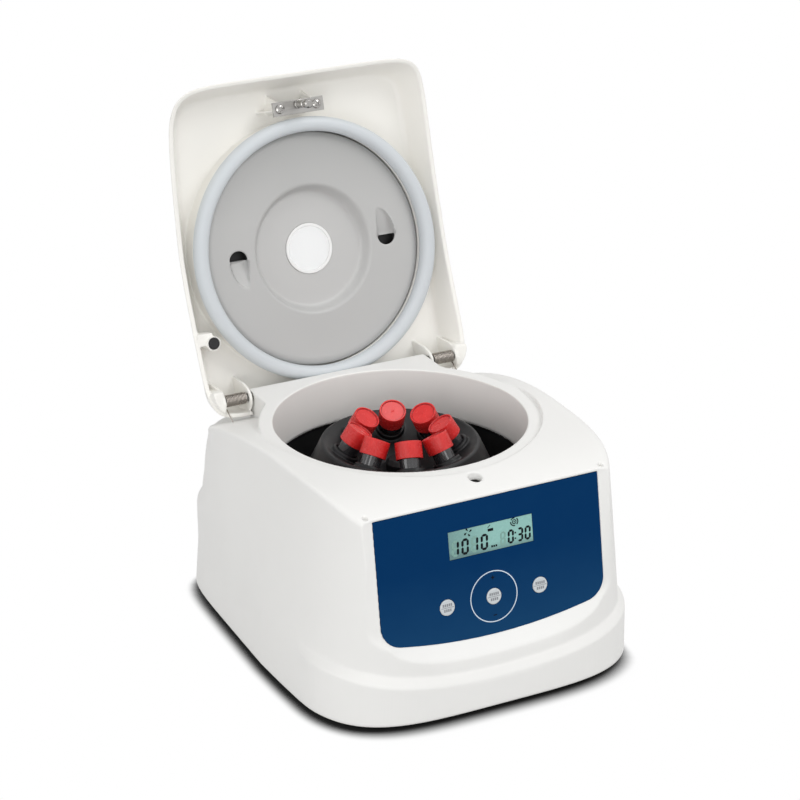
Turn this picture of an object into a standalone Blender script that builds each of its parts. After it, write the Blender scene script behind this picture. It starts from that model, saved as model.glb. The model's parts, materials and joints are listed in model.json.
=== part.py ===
"""A bench centrifuge with its lid open: housing, drive, eight-place angle rotor, lid, latch and controls.

Sizes are in metres. The floor is at z = 0, the front faces -Y and the rotor spins about +Z.
"""

import math

import bmesh
import bpy
from mathutils import Matrix, Vector

# General clearances
GAP = 0.0003  # between pieces that touch
RUN = 0.0005  # round pieces that turn or slide

# Bowl mouth
MOUTH_R = 0.104
LAND_W = 0.0115  # flat land round the mouth
LAND_R = MOUTH_R + LAND_W
SKIRT_H = 0.0425
SKIRT_WALL = 0.003
ROUND_POINTS = 40

# Housing, with its plan laid out round the land
AXIS_Y = -0.0117  # rotor axis, placed so that the open outline is centred on the origin
LAND_Z = 0.181  # flat land round the bowl mouth, above the floor
HOUSING_FOOT_Z = 0.005  # lower edge of the housing, above the floor
WALL = 0.003
EDGE = 0.002  # rounding along the top edge
FOOT_ROUND = 0.003
TOP_HALF_WIDTH = LAND_R + 0.0145
TOP_FRONT = LAND_R + 0.0525  # from the rotor axis, before the bezel is cut
TOP_REAR = LAND_R + 0.0095
TOP_MIDDLE = 0.010  # where the deck is widest, from the rotor axis
BASE_HALF_WIDTH = TOP_HALF_WIDTH + 0.013
BASE_FRONT = TOP_FRONT + 0.0107
BASE_REAR = TOP_REAR + 0.018
BASE_MIDDLE = -0.030  # where the base is widest, from the rotor axis
BASE_TAPER = 0.07  # narrowing of the sides towards the rear
PLINTH_Z = 0.032  # top of the plinth wall
PLINTH_TOP_Z = 0.041  # top of the chamfer above it
PLINTH_STEP = 0.0057  # how far the plinth stands out at the front
PLINTH_SIDE_STEP = 0.0012
REAR_STEP_Z = 0.093
REAR_STEP_RISE = 0.013
REAR_STEP = 0.010
FRONT_POWER = 4.0  # squareness of the outline's front corners
REAR_POWER = 9.0
PLAN_POINTS = 48
BEZEL_Y = LAND_R + 0.031  # front edge of the deck, from the rotor axis
CROWN_RISE = 0.0044  # top of the arched deck, above the land
CROWN_Y = -0.0366  # its crest, from the rotor axis
CROWN_FRONT_DROP = 0.01382  # fall of the deck from its crest to its front edge
CROWN_FRONT_RADIUS = (BEZEL_Y + CROWN_Y) ** 2 / (2 * CROWN_FRONT_DROP)
CROWN_REAR_DROP = 0.0312  # fall of the deck from its crest to the back of the land
CROWN_REAR_RADIUS = (LAND_R - CROWN_Y) ** 2 / (2 * CROWN_REAR_DROP)

# Front bezel and panel
BEZEL_SLOPE = 0.210
PANEL_SET_BACK = 0.0024  # panel's top edge behind the deck's front edge
PANEL_DROP = 0.0031  # panel's top edge below the deck's front edge
PANEL_TILT = math.radians(9.4)
PANEL_HALF_WIDTH = 0.1005
PANEL_H = 0.108
PANEL_SAG = 0.0072  # bow of the lower edge
PANEL_CORNER_R = 0.020
PANEL_T = 0.0020
BEZEL_SIDE = 0.0060
BEZEL_BOTTOM = 0.0135
PANEL_OPENING_MARGIN = 0.014
SCREEN_W = 0.075
SCREEN_H = 0.023
SCREEN_TOP = 0.019  # below the panel's top edge
SCREEN_T = 0.005
BUTTON_R = 0.0068
BUTTON_PITCH = 0.0416
BUTTON_DOWN = 0.0795  # button centres below the panel's top edge
BUTTON_PROUD = 0.0006
BUTTON_DEPTH = 0.0030
BUTTON_TRAVEL = 0.0007
BOARD_T = 0.0016

# Hinge, from the rotor axis and the land
HINGE_Y = LAND_R - 0.0066
HINGE_DROP = 0.0048
LID_OPEN = math.radians(106.5)
BLOCK_HALF_WIDTH = LAND_R - 0.0325
BLOCK_REAR = HINGE_Y + 0.0061
BLOCK_RELIEF_HALF_WIDTH = 0.050  # room for the gasket as the lid swings
BLOCK_RELIEF_Y = 0.0025  # from the hinge axis
BLOCK_RELIEF_DROP = 0.014
PIN_R = 0.003
PIN_IN = BLOCK_HALF_WIDTH - 0.009
PIN_OUT = TOP_HALF_WIDTH - 0.0175
EAR_IN = BLOCK_HALF_WIDTH + 0.0016
EAR_WALL = 0.0025
EAR_R = 0.0155
EAR_BOSS_IN = PIN_OUT - 0.004
POCKET_R = 0.0125
SPRING_R = 0.0046
SPRING_WIRE_R = 0.00045
SPRING_START = EAR_IN + EAR_WALL + 0.0019
SPRING_END = EAR_BOSS_IN - 0.001
SPRING_TURNS = 9
SPRING_TURN_POINTS = 9
SPRING_LEG = 0.0155

# Lid, in its closed place, from the hinge axis
LID_WALL = 0.0026
LID_HALF_WIDTH = TOP_HALF_WIDTH - 0.0055
LID_MIDDLE = -HINGE_Y - 0.0131
LID_FRONT = HINGE_Y + TOP_FRONT - 0.0214
LID_REAR = 0.0165
LID_FRONT_POWER = 6.0
LID_REAR_POWER = 8.0
LID_RIM_GAP = 0.0024
LID_ROOF_RISE = 0.034  # roof above the land
LID_ROOF_RADIUS = 1.0
LID_REAR_CLEAR = 0.014  # rear wall starts this far above the hinge axis
# (inset, share of the way from rim to roof) up the lid's outside
LID_RINGS = (
    (0.0, 0.0),
    (0.0012, 0.35),
    (0.0024, 0.50),
    (0.0060, 0.66),
    (0.0140, 0.78),
    (0.0320, 0.90),
    (0.0700, 1.0),
)
LID_FRONT_SLOPE = 1.4  # insets grow by this at the front
LID_REAR_SLOPE = 0.35
GASKET_R = MOUTH_R + 0.0022
GASKET_HALF_W = 0.0063
GASKET_H = 0.0140
GASKET_LIFT = 0.0006  # above the land when the lid is shut
GASKET_SIDES = 8
PEDESTAL_IN = MOUTH_R - 0.0075
PEDESTAL_OUT = GASKET_R + GASKET_HALF_W - 0.0005
LINER_T = 0.0020
DISH_OUT = 0.054
DISH_IN = 0.044
DISH_DEPTH = 0.0095
SLOT_R = 0.0690  # finger slots, from the liner's centre
SLOT_HALF_W = 0.0068
WINDOW_R = 0.0208
WINDOW_T = 0.0025
ROOF_HOLE_R = 0.0245
STRIKER_Y = -LAND_R - 0.011  # from the rotor axis
STRIKER_FACE = 0.0065  # plate face above the land when shut
STRIKER_W = 0.047
STRIKER_D = 0.0125
STRIKER_T = 0.0015
STRIKER_PIN_L = 0.0225
STRIKER_PIN_R = 0.0030
STRIKER_HEAD_R = 0.0042
STRIKER_HEAD_H = 0.0035
STRIKER_SCREW_X = 0.0170
STRIKER_SCREW_R = 0.0040
STRIKER_SCREW_HEAD = 0.0022
STRIKER_SHANK_R = 0.0018
STRIKER_SHANK_L = 0.0070
STRIKER_POST_R = 0.0048
BUMPER_X = 0.017 - LID_HALF_WIDTH
BUMPER_Y = -0.0490
BUMPER_R = 0.0055
BUMPER_L = 0.0080
BUMPER_LIFT = 0.0012
BUMPER_BOSS_R = 0.0070

# Bowl, drive and rotor, heights from the land
BOWL_WALL = 0.0015
BOWL_TOP = -0.032
BOWL_FLOOR = -0.110
BOWL_CORNER = 0.012
BOWL_HOLE_R = 0.018
SHAFT_R = 0.004
SHAFT_IN = 0.017  # length of the shaft inside the motor
ROTOR_TOP = -0.021
ROTOR_TOP_R = 0.065
ROTOR_FOOT = -0.095
ROTOR_FOOT_R = MOUTH_R - 0.004
ROTOR_RIM = 0.004  # flat rim round the dished top
ROTOR_DISH_R = 0.020
ROTOR_POINTS = 40
COLLAR_WALL = 0.0032  # raised collar round each tube
COLLAR_RISE = 0.0028
TUBES = 8
TUBE_PHASE = math.radians(26)
TUBE_TILT = math.radians(32)
CAP_TOP_R = 0.035  # cap top centre from the rotor axis
CAP_TOP_Z = -0.0085
CAP_R = 0.011
CAP_H = 0.014
CAP_WALL = 0.0020
TUBE_R = 0.0085
TUBE_WALL = 0.0010
TUBE_L = 0.088
TUBE_POINTS = 12
NUT_R = 0.012
NUT_H = 0.012
MOTOR_R = 0.041
MOTOR_NOSE_CLEAR = 0.0055  # between the bowl and the motor's nose
MOTOR_FOOT_Z = 0.014
MOTOR_NOSE_R = 0.014
MOTOR_NOSE_H = 0.006
BEARING_R = 0.010
BEARING_H = 0.006
PLATE_T = 0.003
PLATE_HALF = 0.066
DAMPER_R = 0.009
DAMPER_AT = 0.056

# Base, feet and rear fittings
PAN_T = 0.0025
PAN_LIFT = 0.001  # pan above the housing's lower edge
FOOT_R = 0.011
FOOT_X = BASE_HALF_WIDTH - 0.038
FOOT_FRONT_Y = AXIS_Y - BASE_FRONT + 0.0554
FOOT_REAR_Y = AXIS_Y + BASE_REAR - 0.0263
INLET_X = 0.055
INLET_Z = 0.048
INLET_W = 0.031
INLET_H = 0.024
INLET_D = 0.026
INLET_LIP = 0.004
SWITCH_X = -0.055
SWITCH_W = 0.0135
SWITCH_H = 0.021
SWITCH_TILT = math.radians(10)

# Latch, heights from the land
LATCH_HOLE_R = 0.006
DIMPLE_X = TOP_HALF_WIDTH - 0.0254
DIMPLE_Y = 0.006 - BEZEL_Y
DIMPLE_R = 0.002
DIMPLE_DEPTH = 0.0015
LATCH_HALF_W = 0.010
LATCH_WALL = 0.0015
LATCH_LEFT = -0.034
LATCH_RIGHT = 0.030
SLIDER_T = 0.002
SLIDER_REST = -0.0062  # hooking edge, left of the pin
SLIDER_TRAVEL = 0.0026
SLIDER_L = 0.020


# Colours: name, base colour, roughness, metallic
FINISHES = {
    "housing_white": ((0.86, 0.86, 0.84), 0.45, 0.0),
    "lid_ivory": ((0.84, 0.83, 0.79), 0.45, 0.0),
    "liner_grey": ((0.52, 0.52, 0.51), 0.5, 0.0),
    "gasket_grey": ((0.66, 0.69, 0.72), 0.6, 0.0),
    "panel_blue": ((0.005, 0.045, 0.13), 0.4, 0.0),
    "screen_green": ((0.27, 0.52, 0.46), 0.2, 0.0),
    "key_grey": ((0.62, 0.65, 0.67), 0.5, 0.0),
    "rotor_black": ((0.015, 0.015, 0.016), 0.4, 0.0),
    "bowl_black": ((0.01, 0.01, 0.01), 0.5, 0.0),
    "rubber_black": ((0.02, 0.02, 0.02), 0.8, 0.0),
    "steel": ((0.58, 0.57, 0.55), 0.3, 1.0),
    "cap_red": ((0.62, 0.03, 0.03), 0.4, 0.0),
    "tube_clear": ((0.55, 0.55, 0.6), 0.1, 0.0),
    "window_clear": ((0.85, 0.85, 0.85), 0.1, 0.0),
    "board_green": ((0.03, 0.16, 0.06), 0.5, 0.0),
    "black_plastic": ((0.02, 0.02, 0.022), 0.5, 0.0),
}


def material(name):
    """The named finish as a Principled material."""
    found = bpy.data.materials.get(name)
    if found:
        return found
    colour, roughness, metallic = FINISHES[name]
    made = bpy.data.materials.new(name)
    made.use_nodes = True
    shader = made.node_tree.nodes["Principled BSDF"]
    shader.inputs["Base Color"].default_value = (*colour, 1.0)
    shader.inputs["Roughness"].default_value = roughness
    shader.inputs["Metallic"].default_value = metallic
    return made


# Building blocks


def solid(name, points, faces):
    """A mesh object from points and faces, with its faces turned outward."""
    mesh = bpy.data.meshes.new(name)
    mesh.from_pydata([tuple(point) for point in points], [], faces)
    edit = bmesh.new()
    edit.from_mesh(mesh)
    loose = [point for point in edit.verts if not point.link_faces]
    bmesh.ops.delete(edit, geom=loose, context="VERTS")
    bmesh.ops.recalc_face_normals(edit, faces=edit.faces)
    edit.to_mesh(mesh)
    edit.free()
    made = bpy.data.objects.new(name, mesh)
    bpy.context.scene.collection.objects.link(made)
    return made


def loft(name, rings, mirrored=False):
    """A closed solid through rings of equal count; mirrored ends are filled straight across in strips."""
    count = len(rings[0])
    half = count // 2
    points = [point for ring in rings for point in ring]
    last = (len(rings) - 1) * count
    faces = []
    for low in range(0, last, count):
        for k in range(count):
            following = (k + 1) % count
            faces.append((low + k, low + following, low + count + following, low + count + k))
    for end in (0, last):
        if mirrored:
            faces.append((end, end + 1, end + count - 1))
            for k in range(1, half - 1):
                faces.append((end + k, end + k + 1, end + count - k - 1, end + count - k))
            faces.append((end + half - 1, end + half, end + half + 1))
        else:
            faces.append(tuple(range(end, end + count)))
    return solid(name, points, faces)


def lathe(name, profile, count, place=Matrix.Identity(4)):
    """A closed (radius, height) profile turned about Z; it may start and end on the axis."""
    points, starts = [], []
    for radius, height in profile:
        starts.append((len(points), radius > 0, height))
        steps = count if radius > 0 else 1
        for k in range(steps):
            turn = math.tau * k / count
            points.append(place @ Vector((radius * math.cos(turn), radius * math.sin(turn), height)))
    pairs = list(zip(starts, starts[1:]))
    if profile[0][0] > 0:
        pairs.append((starts[-1], starts[0]))
    faces = []
    for (low, low_ring, low_z), (high, high_ring, high_z) in pairs:
        if low_ring != high_ring and low_z == high_z:
            ring = low if low_ring else high
            faces.append(tuple(range(ring, ring + count)))
            continue
        for k in range(count):
            following = (k + 1) % count
            if low_ring and high_ring:
                faces.append((low + k, low + following, high + following, high + k))
            elif low_ring:
                faces.append((low + k, low + following, high))
            elif high_ring:
                faces.append((low, high + following, high + k))
    return solid(name, points, faces)


def drum(name, radius, low, high, count, place=Matrix.Identity(4)):
    """A plain round bar about Z."""
    return lathe(name, ((0, low), (radius, low), (radius, high), (0, high)), count, place)


def ring_bar(name, inner, outer, low, high, count, place=Matrix.Identity(4)):
    """A plain round tube about Z."""
    return lathe(name, ((inner, low), (outer, low), (outer, high), (inner, high)), count, place)


def box(name, low, high):
    """A block between two corners."""
    (x0, y0, z0), (x1, y1, z1) = low, high
    points = [(x, y, z) for z in (z0, z1) for x, y in ((x0, y0), (x1, y0), (x1, y1), (x0, y1))]
    faces = [(0, 3, 2, 1), (4, 5, 6, 7)]
    faces += [(k, (k + 1) % 4, (k + 1) % 4 + 4, k + 4) for k in range(4)]
    return solid(name, points, faces)


def prism(name, outline, low, high, place):
    """An outline of (a, b) pairs run from low to high; place gives the point for (a, b, c)."""
    rings = [[place(a, b, c) for a, b in outline] for c in (low, high)]
    return loft(name, rings)


def combine(target, tool, operation):
    """Joins, cuts or trims the target by a tool, which is used up."""
    modifier = target.modifiers.new(operation, "BOOLEAN")
    modifier.operation = operation
    modifier.solver = "EXACT"
    modifier.object = tool
    bpy.context.view_layer.update()
    graph = bpy.context.evaluated_depsgraph_get()
    result = bpy.data.meshes.new_from_object(target.evaluated_get(graph))
    target.modifiers.clear()
    target.data = result
    bpy.data.objects.remove(tool)
    return target


def cut(target, tool):
    return combine(target, tool, "DIFFERENCE")


def join(target, tool):
    return combine(target, tool, "UNION")


def trim(target, tool):
    return combine(target, tool, "INTERSECT")


def finish(made, name, finish_name, parent=None, smooth=30):
    """Names a piece, gives it its material and parent, and shades its round faces smooth."""
    made.name = name
    made.data.name = name
    made.data.materials.clear()
    made.data.materials.append(material(finish_name))
    made.data.shade_smooth()
    made.data.set_sharp_from_angle(angle=math.radians(smooth))
    made.parent = parent
    return made


def empty(name, location, rotation=(0, 0, 0)):
    made = bpy.data.objects.new(name, None)
    made.location = location
    made.rotation_euler = rotation
    bpy.context.scene.collection.objects.link(made)
    return made


def between(start, end, share):
    return start + (end - start) * share


# Shared shapes


def plan(half_width, middle, front, rear, front_power, rear_power, taper=0.0):
    """Points of a rounded outline, from the rear centre round by +X; y is measured from the rotor axis."""
    ring = []
    for k in range(PLAN_POINTS):
        turn = math.tau * k / PLAN_POINTS
        side, along = math.sin(turn), math.cos(turn)
        reach, power = (rear - middle, rear_power) if along > 0 else (middle + front, front_power)
        x = math.copysign(half_width * abs(side) ** (2 / power), side)
        y = middle + math.copysign(reach * abs(along) ** (2 / power), along)
        if y > middle:
            x *= 1 - taper * (y - middle) / half_width
        if k in (0, PLAN_POINTS // 2):
            x = 0.0
        ring.append((x, y))
    return ring


def crown(y):
    """Height of the arched deck at a distance from the rotor axis, above the land."""
    away = y - CROWN_Y
    radius = CROWN_REAR_RADIUS if away > 0 else CROWN_FRONT_RADIUS
    return CROWN_RISE - away * away / (2 * radius)


def base_plan(inset):
    return plan(
        BASE_HALF_WIDTH - inset,
        BASE_MIDDLE,
        BASE_FRONT - inset,
        BASE_REAR - inset,
        FRONT_POWER,
        REAR_POWER,
        BASE_TAPER,
    )


def upper_plan(share, inset, stepped):
    """Outline of the body above the plinth, from share 0 at the plinth to 1 at the deck."""
    base_rear = BASE_REAR - (REAR_STEP if stepped else 0.0)
    return plan(
        between(BASE_HALF_WIDTH - PLINTH_SIDE_STEP, TOP_HALF_WIDTH, share) - inset,
        between(BASE_MIDDLE, TOP_MIDDLE, share),
        between(BASE_FRONT - PLINTH_STEP, TOP_FRONT, share) - inset,
        between(base_rear, TOP_REAR, share) - inset,
        FRONT_POWER,
        REAR_POWER,
        between(BASE_TAPER, 0.0, share),
    )


def at_level(ring, z):
    return [Vector((x, y + AXIS_Y, z)) for x, y in ring]


def at_deck(ring, drop):
    return [Vector((x, y + AXIS_Y, LAND_Z + crown(y) - drop)) for x, y in ring]


def height_share(z):
    return (z - PLINTH_TOP_Z) / (LAND_Z - PLINTH_TOP_Z)


def body_rings(inset, foot_z, foot_inset):
    """Rings of the body from its foot to its deck, all moved in by an inset."""
    step_top = REAR_STEP_Z + REAR_STEP_RISE
    mid_z = between(step_top, LAND_Z, 0.5)
    return [
        at_level(base_plan(inset + foot_inset), foot_z),
        at_level(base_plan(inset), HOUSING_FOOT_Z + FOOT_ROUND),
        at_level(base_plan(inset + PLINTH_SIDE_STEP / 2), PLINTH_Z),
        at_level(upper_plan(0.0, inset, False), PLINTH_TOP_Z),
        at_level(upper_plan(height_share(REAR_STEP_Z), inset, False), REAR_STEP_Z),
        at_level(upper_plan(height_share(step_top), inset, True), step_top),
        at_level(upper_plan(height_share(mid_z), inset, True), mid_z),
    ]


AXIS = Matrix.Translation((0, AXIS_Y, LAND_Z))  # rotor axis at the height of the land
HINGE = Vector((0, AXIS_Y + HINGE_Y, LAND_Z - HINGE_DROP))


def panel_point(x, down, out):
    """A point by its place on the panel: across, down from its top edge, and out of its face."""
    lean, rise = math.sin(PANEL_TILT), math.cos(PANEL_TILT)
    y = AXIS_Y - BEZEL_Y + PANEL_SET_BACK - down * lean - out * rise
    z = LAND_Z + crown(-BEZEL_Y) - PANEL_DROP - down * rise + out * lean
    return Vector((x, y, z))


def panel_outline(side, bottom, top):
    """The panel's outline grown by side, bottom and top amounts: a flat top and a bowed lower edge."""
    half = PANEL_HALF_WIDTH + side
    radius = PANEL_CORNER_R + side
    low = PANEL_H + bottom
    bow = (half - radius) ** 2 / (2 * PANEL_SAG)
    points = [(half, -top)]
    corner_down = low - (half - radius) ** 2 / (2 * bow) - radius
    for k in range(7):
        turn = math.radians(90 * k / 6)
        points.append((half - radius + radius * math.cos(turn), corner_down + radius * math.sin(turn)))
    for k in range(1, 5):
        x = (half - radius) * (1 - k / 5)
        points.append((x, low - x * x / (2 * bow)))
    return points + [(0.0, low)] + [(-x, down) for x, down in reversed(points)]


def front_space(name, depth):
    """The space in front of the panel plane, moved back by a depth, down to just below the bezel."""
    far = 0.30
    low = PANEL_H + BEZEL_BOTTOM + 2 * WALL
    outline = [(-far, -far), (far, -far), (far, low), (-far, low)]
    return prism(name, outline, -depth, far, panel_point)


def bezel_space(name):
    """Everything in front of the bezel's slanted plane."""
    far = 0.30
    top_y = AXIS_Y - BEZEL_Y
    top_z = LAND_Z + crown(-BEZEL_Y)

    def place(x, drop, out):
        return Vector((x, top_y - drop * BEZEL_SLOPE - out, top_z - drop))

    return prism(name, [(-far, -far), (far, -far), (far, far), (-far, far)], 0.0, far, place)


def bezel_depth(down):
    """How far the bezel's plane stands out from the panel plane."""
    point = panel_point(0, down, 0)
    drop = LAND_Z + crown(-BEZEL_Y) - point.z
    bezel_y = AXIS_Y - BEZEL_Y - drop * BEZEL_SLOPE
    return (point.y - bezel_y) * math.cos(PANEL_TILT)


def bezel_recess(name):
    """The sloping recess from the bezel's edge down to the panel."""
    inner = panel_outline(GAP, GAP, GAP)
    outer = panel_outline(BEZEL_SIDE, BEZEL_BOTTOM, 0.02)
    over = 1.6  # the recess runs on past the bezel plane at the same slope
    rings = [[panel_point(a, b, -PANEL_T / 2) for a, b in inner]]
    rings.append([panel_point(a, b, 0.0) for a, b in inner])
    far = []
    for (a, b), (c, d) in zip(inner, outer):
        rise = max(bezel_depth(d), 0.004)
        far.append(panel_point(between(a, c, over), between(b, d, over), rise * over))
    rings.append(far)
    return loft(name, rings)


def about_x(x0, x1, outline, name, centre=Vector((0, 0, 0))):
    """An outline of (y, z) pairs run along X."""
    return prism(name, outline, x0, x1, lambda a, b, c: Vector((c, a, b)) + centre)


def disc_outline(radius, count, start=0.0, sweep=360.0):
    steps = count if sweep == 360.0 else count + 1
    turns = [math.radians(start + sweep * k / count) for k in range(steps)]
    return [(radius * math.cos(turn), radius * math.sin(turn)) for turn in turns]


# Housing


def make_housing():
    rings = body_rings(0.0, HOUSING_FOOT_Z, FOOT_ROUND)
    rings.append(at_deck(upper_plan(1.0, 0.0, True), EDGE))
    rings.append(at_deck(upper_plan(1.0, EDGE, True), 0.0))
    body = loft("body", rings, mirrored=True)
    cut(body, bezel_space("bezel"))
    join(body, drum("collar", LAND_R, -0.030, 0.020, ROUND_POINTS, AXIS))
    block_low = (-BLOCK_HALF_WIDTH, AXIS_Y + MOUTH_R * 0.5, LAND_Z - 0.045)
    block_high = (BLOCK_HALF_WIDTH, AXIS_Y + BLOCK_REAR, LAND_Z + 0.015)
    join(body, box("block", block_low, block_high))
    cut(body, land_space("land"))
    relief_low = (-BLOCK_RELIEF_HALF_WIDTH, HINGE.y + BLOCK_RELIEF_Y, HINGE.z - BLOCK_RELIEF_DROP)
    relief_high = (BLOCK_RELIEF_HALF_WIDTH, HINGE.y + 0.05, HINGE.z + 0.02)
    cut(body, box("relief", relief_low, relief_high))
    cut(body, make_cavity())
    cut(body, drum("mouth", MOUTH_R, -0.100, 0.030, ROUND_POINTS, AXIS))
    cut_front(body)
    cut_deck_holes(body)
    cut_rear(body)
    return finish(body, "main_housing", "housing_white")


def land_space(name):
    """Everything above the flat land round the mouth and above the hinge block behind it."""
    radius = LAND_R + GAP
    half = BLOCK_HALF_WIDTH + 0.005
    start = math.degrees(math.asin(half / radius)) + 90
    outline = disc_outline(radius, ROUND_POINTS, start, 540 - 2 * start)
    outline += [(half, BLOCK_REAR + 0.005), (-half, BLOCK_REAR + 0.005)]
    return prism(name, outline, 0.0, 0.050, lambda x, y, z: Vector((x, y + AXIS_Y, z + LAND_Z)))


def make_cavity():
    """The hollow inside the housing, with the land, the skirt of the mouth and the front wall left out."""
    rings = body_rings(WALL, -0.010, 0.0)
    rings.append(at_deck(upper_plan(1.0, WALL, True), WALL))
    hollow = loft("hollow", rings, mirrored=True)
    cut(hollow, front_space("front wall", PANEL_T + GAP + WALL))
    cut(hollow, drum("under land", LAND_R + WALL, -WALL, 0.050, ROUND_POINTS, AXIS))
    cut(hollow, drum("skirt", MOUTH_R + SKIRT_WALL, -SKIRT_H, 0.050, ROUND_POINTS, AXIS))
    block_low = (-BLOCK_HALF_WIDTH + WALL, AXIS_Y + LAND_R - WALL, LAND_Z - 0.060)
    block_high = (BLOCK_HALF_WIDTH - WALL, AXIS_Y + HINGE_Y + BLOCK_RELIEF_Y - WALL, LAND_Z - WALL)
    keep = box("block hollow", block_low, block_high)
    cut(keep, drum("skirt", LAND_R, -0.10, 0.050, ROUND_POINTS, AXIS))
    return join(hollow, keep)


def cut_front(body):
    """The panel's recess and the opening behind the panel."""
    cut(body, bezel_recess("recess"))
    pocket = panel_outline(GAP, GAP, GAP)
    cut(body, prism("pocket", pocket, -PANEL_T - GAP, 0.002, panel_point))
    half = PANEL_HALF_WIDTH - PANEL_OPENING_MARGIN
    low, high = PANEL_OPENING_MARGIN, PANEL_H - PANEL_SAG - PANEL_OPENING_MARGIN
    opening = [(-half, low), (half, low), (half, high), (-half, high)]
    cut(body, prism("opening", opening, -0.020, 0.0, panel_point))


def cut_deck_holes(body):
    """The latch hole, the two corner dimples and the holes for the hinge pins."""
    place = Matrix.Translation((0, AXIS_Y + STRIKER_Y, LAND_Z))
    cut(body, drum("latch hole", LATCH_HOLE_R, -0.030, 0.020, 20, place))
    for side in (-1, 1):
        deck = LAND_Z + crown(DIMPLE_Y)
        place = Matrix.Translation((side * DIMPLE_X, AXIS_Y + DIMPLE_Y, deck))
        cut(body, drum("dimple", DIMPLE_R, -DIMPLE_DEPTH, 0.010, 10, place))
        low, high = sorted((side * (PIN_IN - 0.01), side * (BLOCK_HALF_WIDTH + 0.01)))
        cut(body, about_x(low, high, disc_outline(PIN_R + RUN, 16), "pin hole", HINGE))


def rear_wall_y():
    """Outer face of the lower rear wall."""
    return AXIS_Y + BASE_REAR


def cut_rear(body):
    """The openings for the power inlet and the power switch."""
    for x, width, height in ((INLET_X, INLET_W, INLET_H), (SWITCH_X, SWITCH_W, SWITCH_H)):
        low = (x - width / 2 - GAP, rear_wall_y() - 0.03, INLET_Z - height / 2 - GAP)
        high = (x + width / 2 + GAP, rear_wall_y() + 0.03, INLET_Z + height / 2 + GAP)
        cut(body, box("rear opening", low, high))


# Base and drive


def make_base():
    pan_z = HOUSING_FOOT_Z + PAN_LIFT
    inside = WALL + FOOT_ROUND + GAP
    rings = [at_level(base_plan(inside), pan_z), at_level(base_plan(inside), pan_z + PAN_T)]
    finish(loft("pan", rings), "base_pan", "steel")
    number = 1
    for y in (FOOT_FRONT_Y, FOOT_REAR_Y):
        for x in (-FOOT_X, FOOT_X):
            place = Matrix.Translation((x, y, 0))
            top = pan_z - GAP
            profile = ((0, 0), (FOOT_R - 0.001, 0), (FOOT_R, 0.001), (FOOT_R, top), (0, top))
            finish(lathe("foot", profile, 16, place), f"foot_{number}", "rubber_black")
            number += 1
    return pan_z + PAN_T


def make_bowl():
    """The black bowl, hung on the outside of the mouth's skirt, and the seal in its floor."""
    inner = MOUTH_R + SKIRT_WALL + GAP
    outer = inner + BOWL_WALL
    low = BOWL_FLOOR - BOWL_WALL
    profile = [(BOWL_HOLE_R, low), (outer - BOWL_CORNER, low)]
    profile += [(outer - BOWL_CORNER * 0.3, low + BOWL_CORNER * 0.3), (outer, low + BOWL_CORNER)]
    profile += [(outer, BOWL_TOP), (inner, BOWL_TOP), (inner, low + BOWL_CORNER)]
    profile += [(inner - BOWL_CORNER * 0.3, BOWL_FLOOR + BOWL_CORNER * 0.3)]
    profile += [(inner - BOWL_CORNER, BOWL_FLOOR), (BOWL_HOLE_R, BOWL_FLOOR)]
    finish(lathe("bowl", profile, ROUND_POINTS, AXIS), "chamber_bowl", "bowl_black")
    hole = BOWL_HOLE_R - GAP
    neck = SHAFT_R + 0.0025
    lip = 0.003
    high = BOWL_FLOOR + GAP
    profile = ((neck, low - lip), (hole, low - lip), (hole, high), (hole + lip, high))
    profile += ((hole + lip, high + lip / 2), (neck + lip, high + 2 * lip), (neck, high + 2 * lip))
    finish(lathe("boot", profile, 24, AXIS), "shaft_boot", "rubber_black")


def motor_nose_z():
    """Top of the motor's nose, just under the bowl."""
    return LAND_Z + BOWL_FLOOR - BOWL_WALL - MOTOR_NOSE_CLEAR


def make_motor(pan_top):
    """The motor hung under a plate on three rubber dampers that stand on the pan."""
    floor = Matrix.Translation((0, AXIS_Y, 0))
    nose_top = motor_nose_z()
    motor_top = nose_top - MOTOR_NOSE_H
    shaft_foot = nose_top - SHAFT_IN - GAP
    bearing_r = BEARING_R + GAP
    bore = SHAFT_R + RUN
    seat = nose_top - BEARING_H - GAP
    profile = [(0, MOTOR_FOOT_Z), (MOTOR_R - 0.002, MOTOR_FOOT_Z), (MOTOR_R, MOTOR_FOOT_Z + 0.002)]
    profile += [(MOTOR_R, motor_top), (MOTOR_NOSE_R, motor_top), (MOTOR_NOSE_R, nose_top)]
    profile += [(bearing_r, nose_top), (bearing_r, seat), (bore, seat)]
    profile += [(bore, shaft_foot), (0, shaft_foot)]
    finish(lathe("can", profile, 32, floor), "motor_can", "steel")
    bearing = ring_bar("bearing", bore, BEARING_R, seat + GAP, nose_top, 24, floor)
    finish(bearing, "shaft_bearing", "steel")
    low = motor_top + GAP
    plate = []
    for k in range(3):
        for turn in (-14, 14):
            angle = math.radians(120 * k + 90 + turn)
            plate.append((PLATE_HALF * math.cos(angle), PLATE_HALF * math.sin(angle)))

    def flat(x, y, z):
        return Vector((x, y + AXIS_Y, z))

    sheet = prism("plate", plate, low, low + PLATE_T, flat)
    cut(sheet, drum("nose hole", MOTOR_NOSE_R + GAP, low - 0.01, low + 0.02, 32, floor))
    finish(sheet, "motor_plate", "steel")
    for k in range(3):
        angle = math.radians(120 * k + 90)
        at = Matrix.Translation((DAMPER_AT * math.cos(angle), AXIS_Y + DAMPER_AT * math.sin(angle), 0))
        post = drum("damper", DAMPER_R, pan_top + GAP, low - GAP, 16, at)
        finish(post, f"motor_damper_{k + 1}", "rubber_black")


# Rotor


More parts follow.
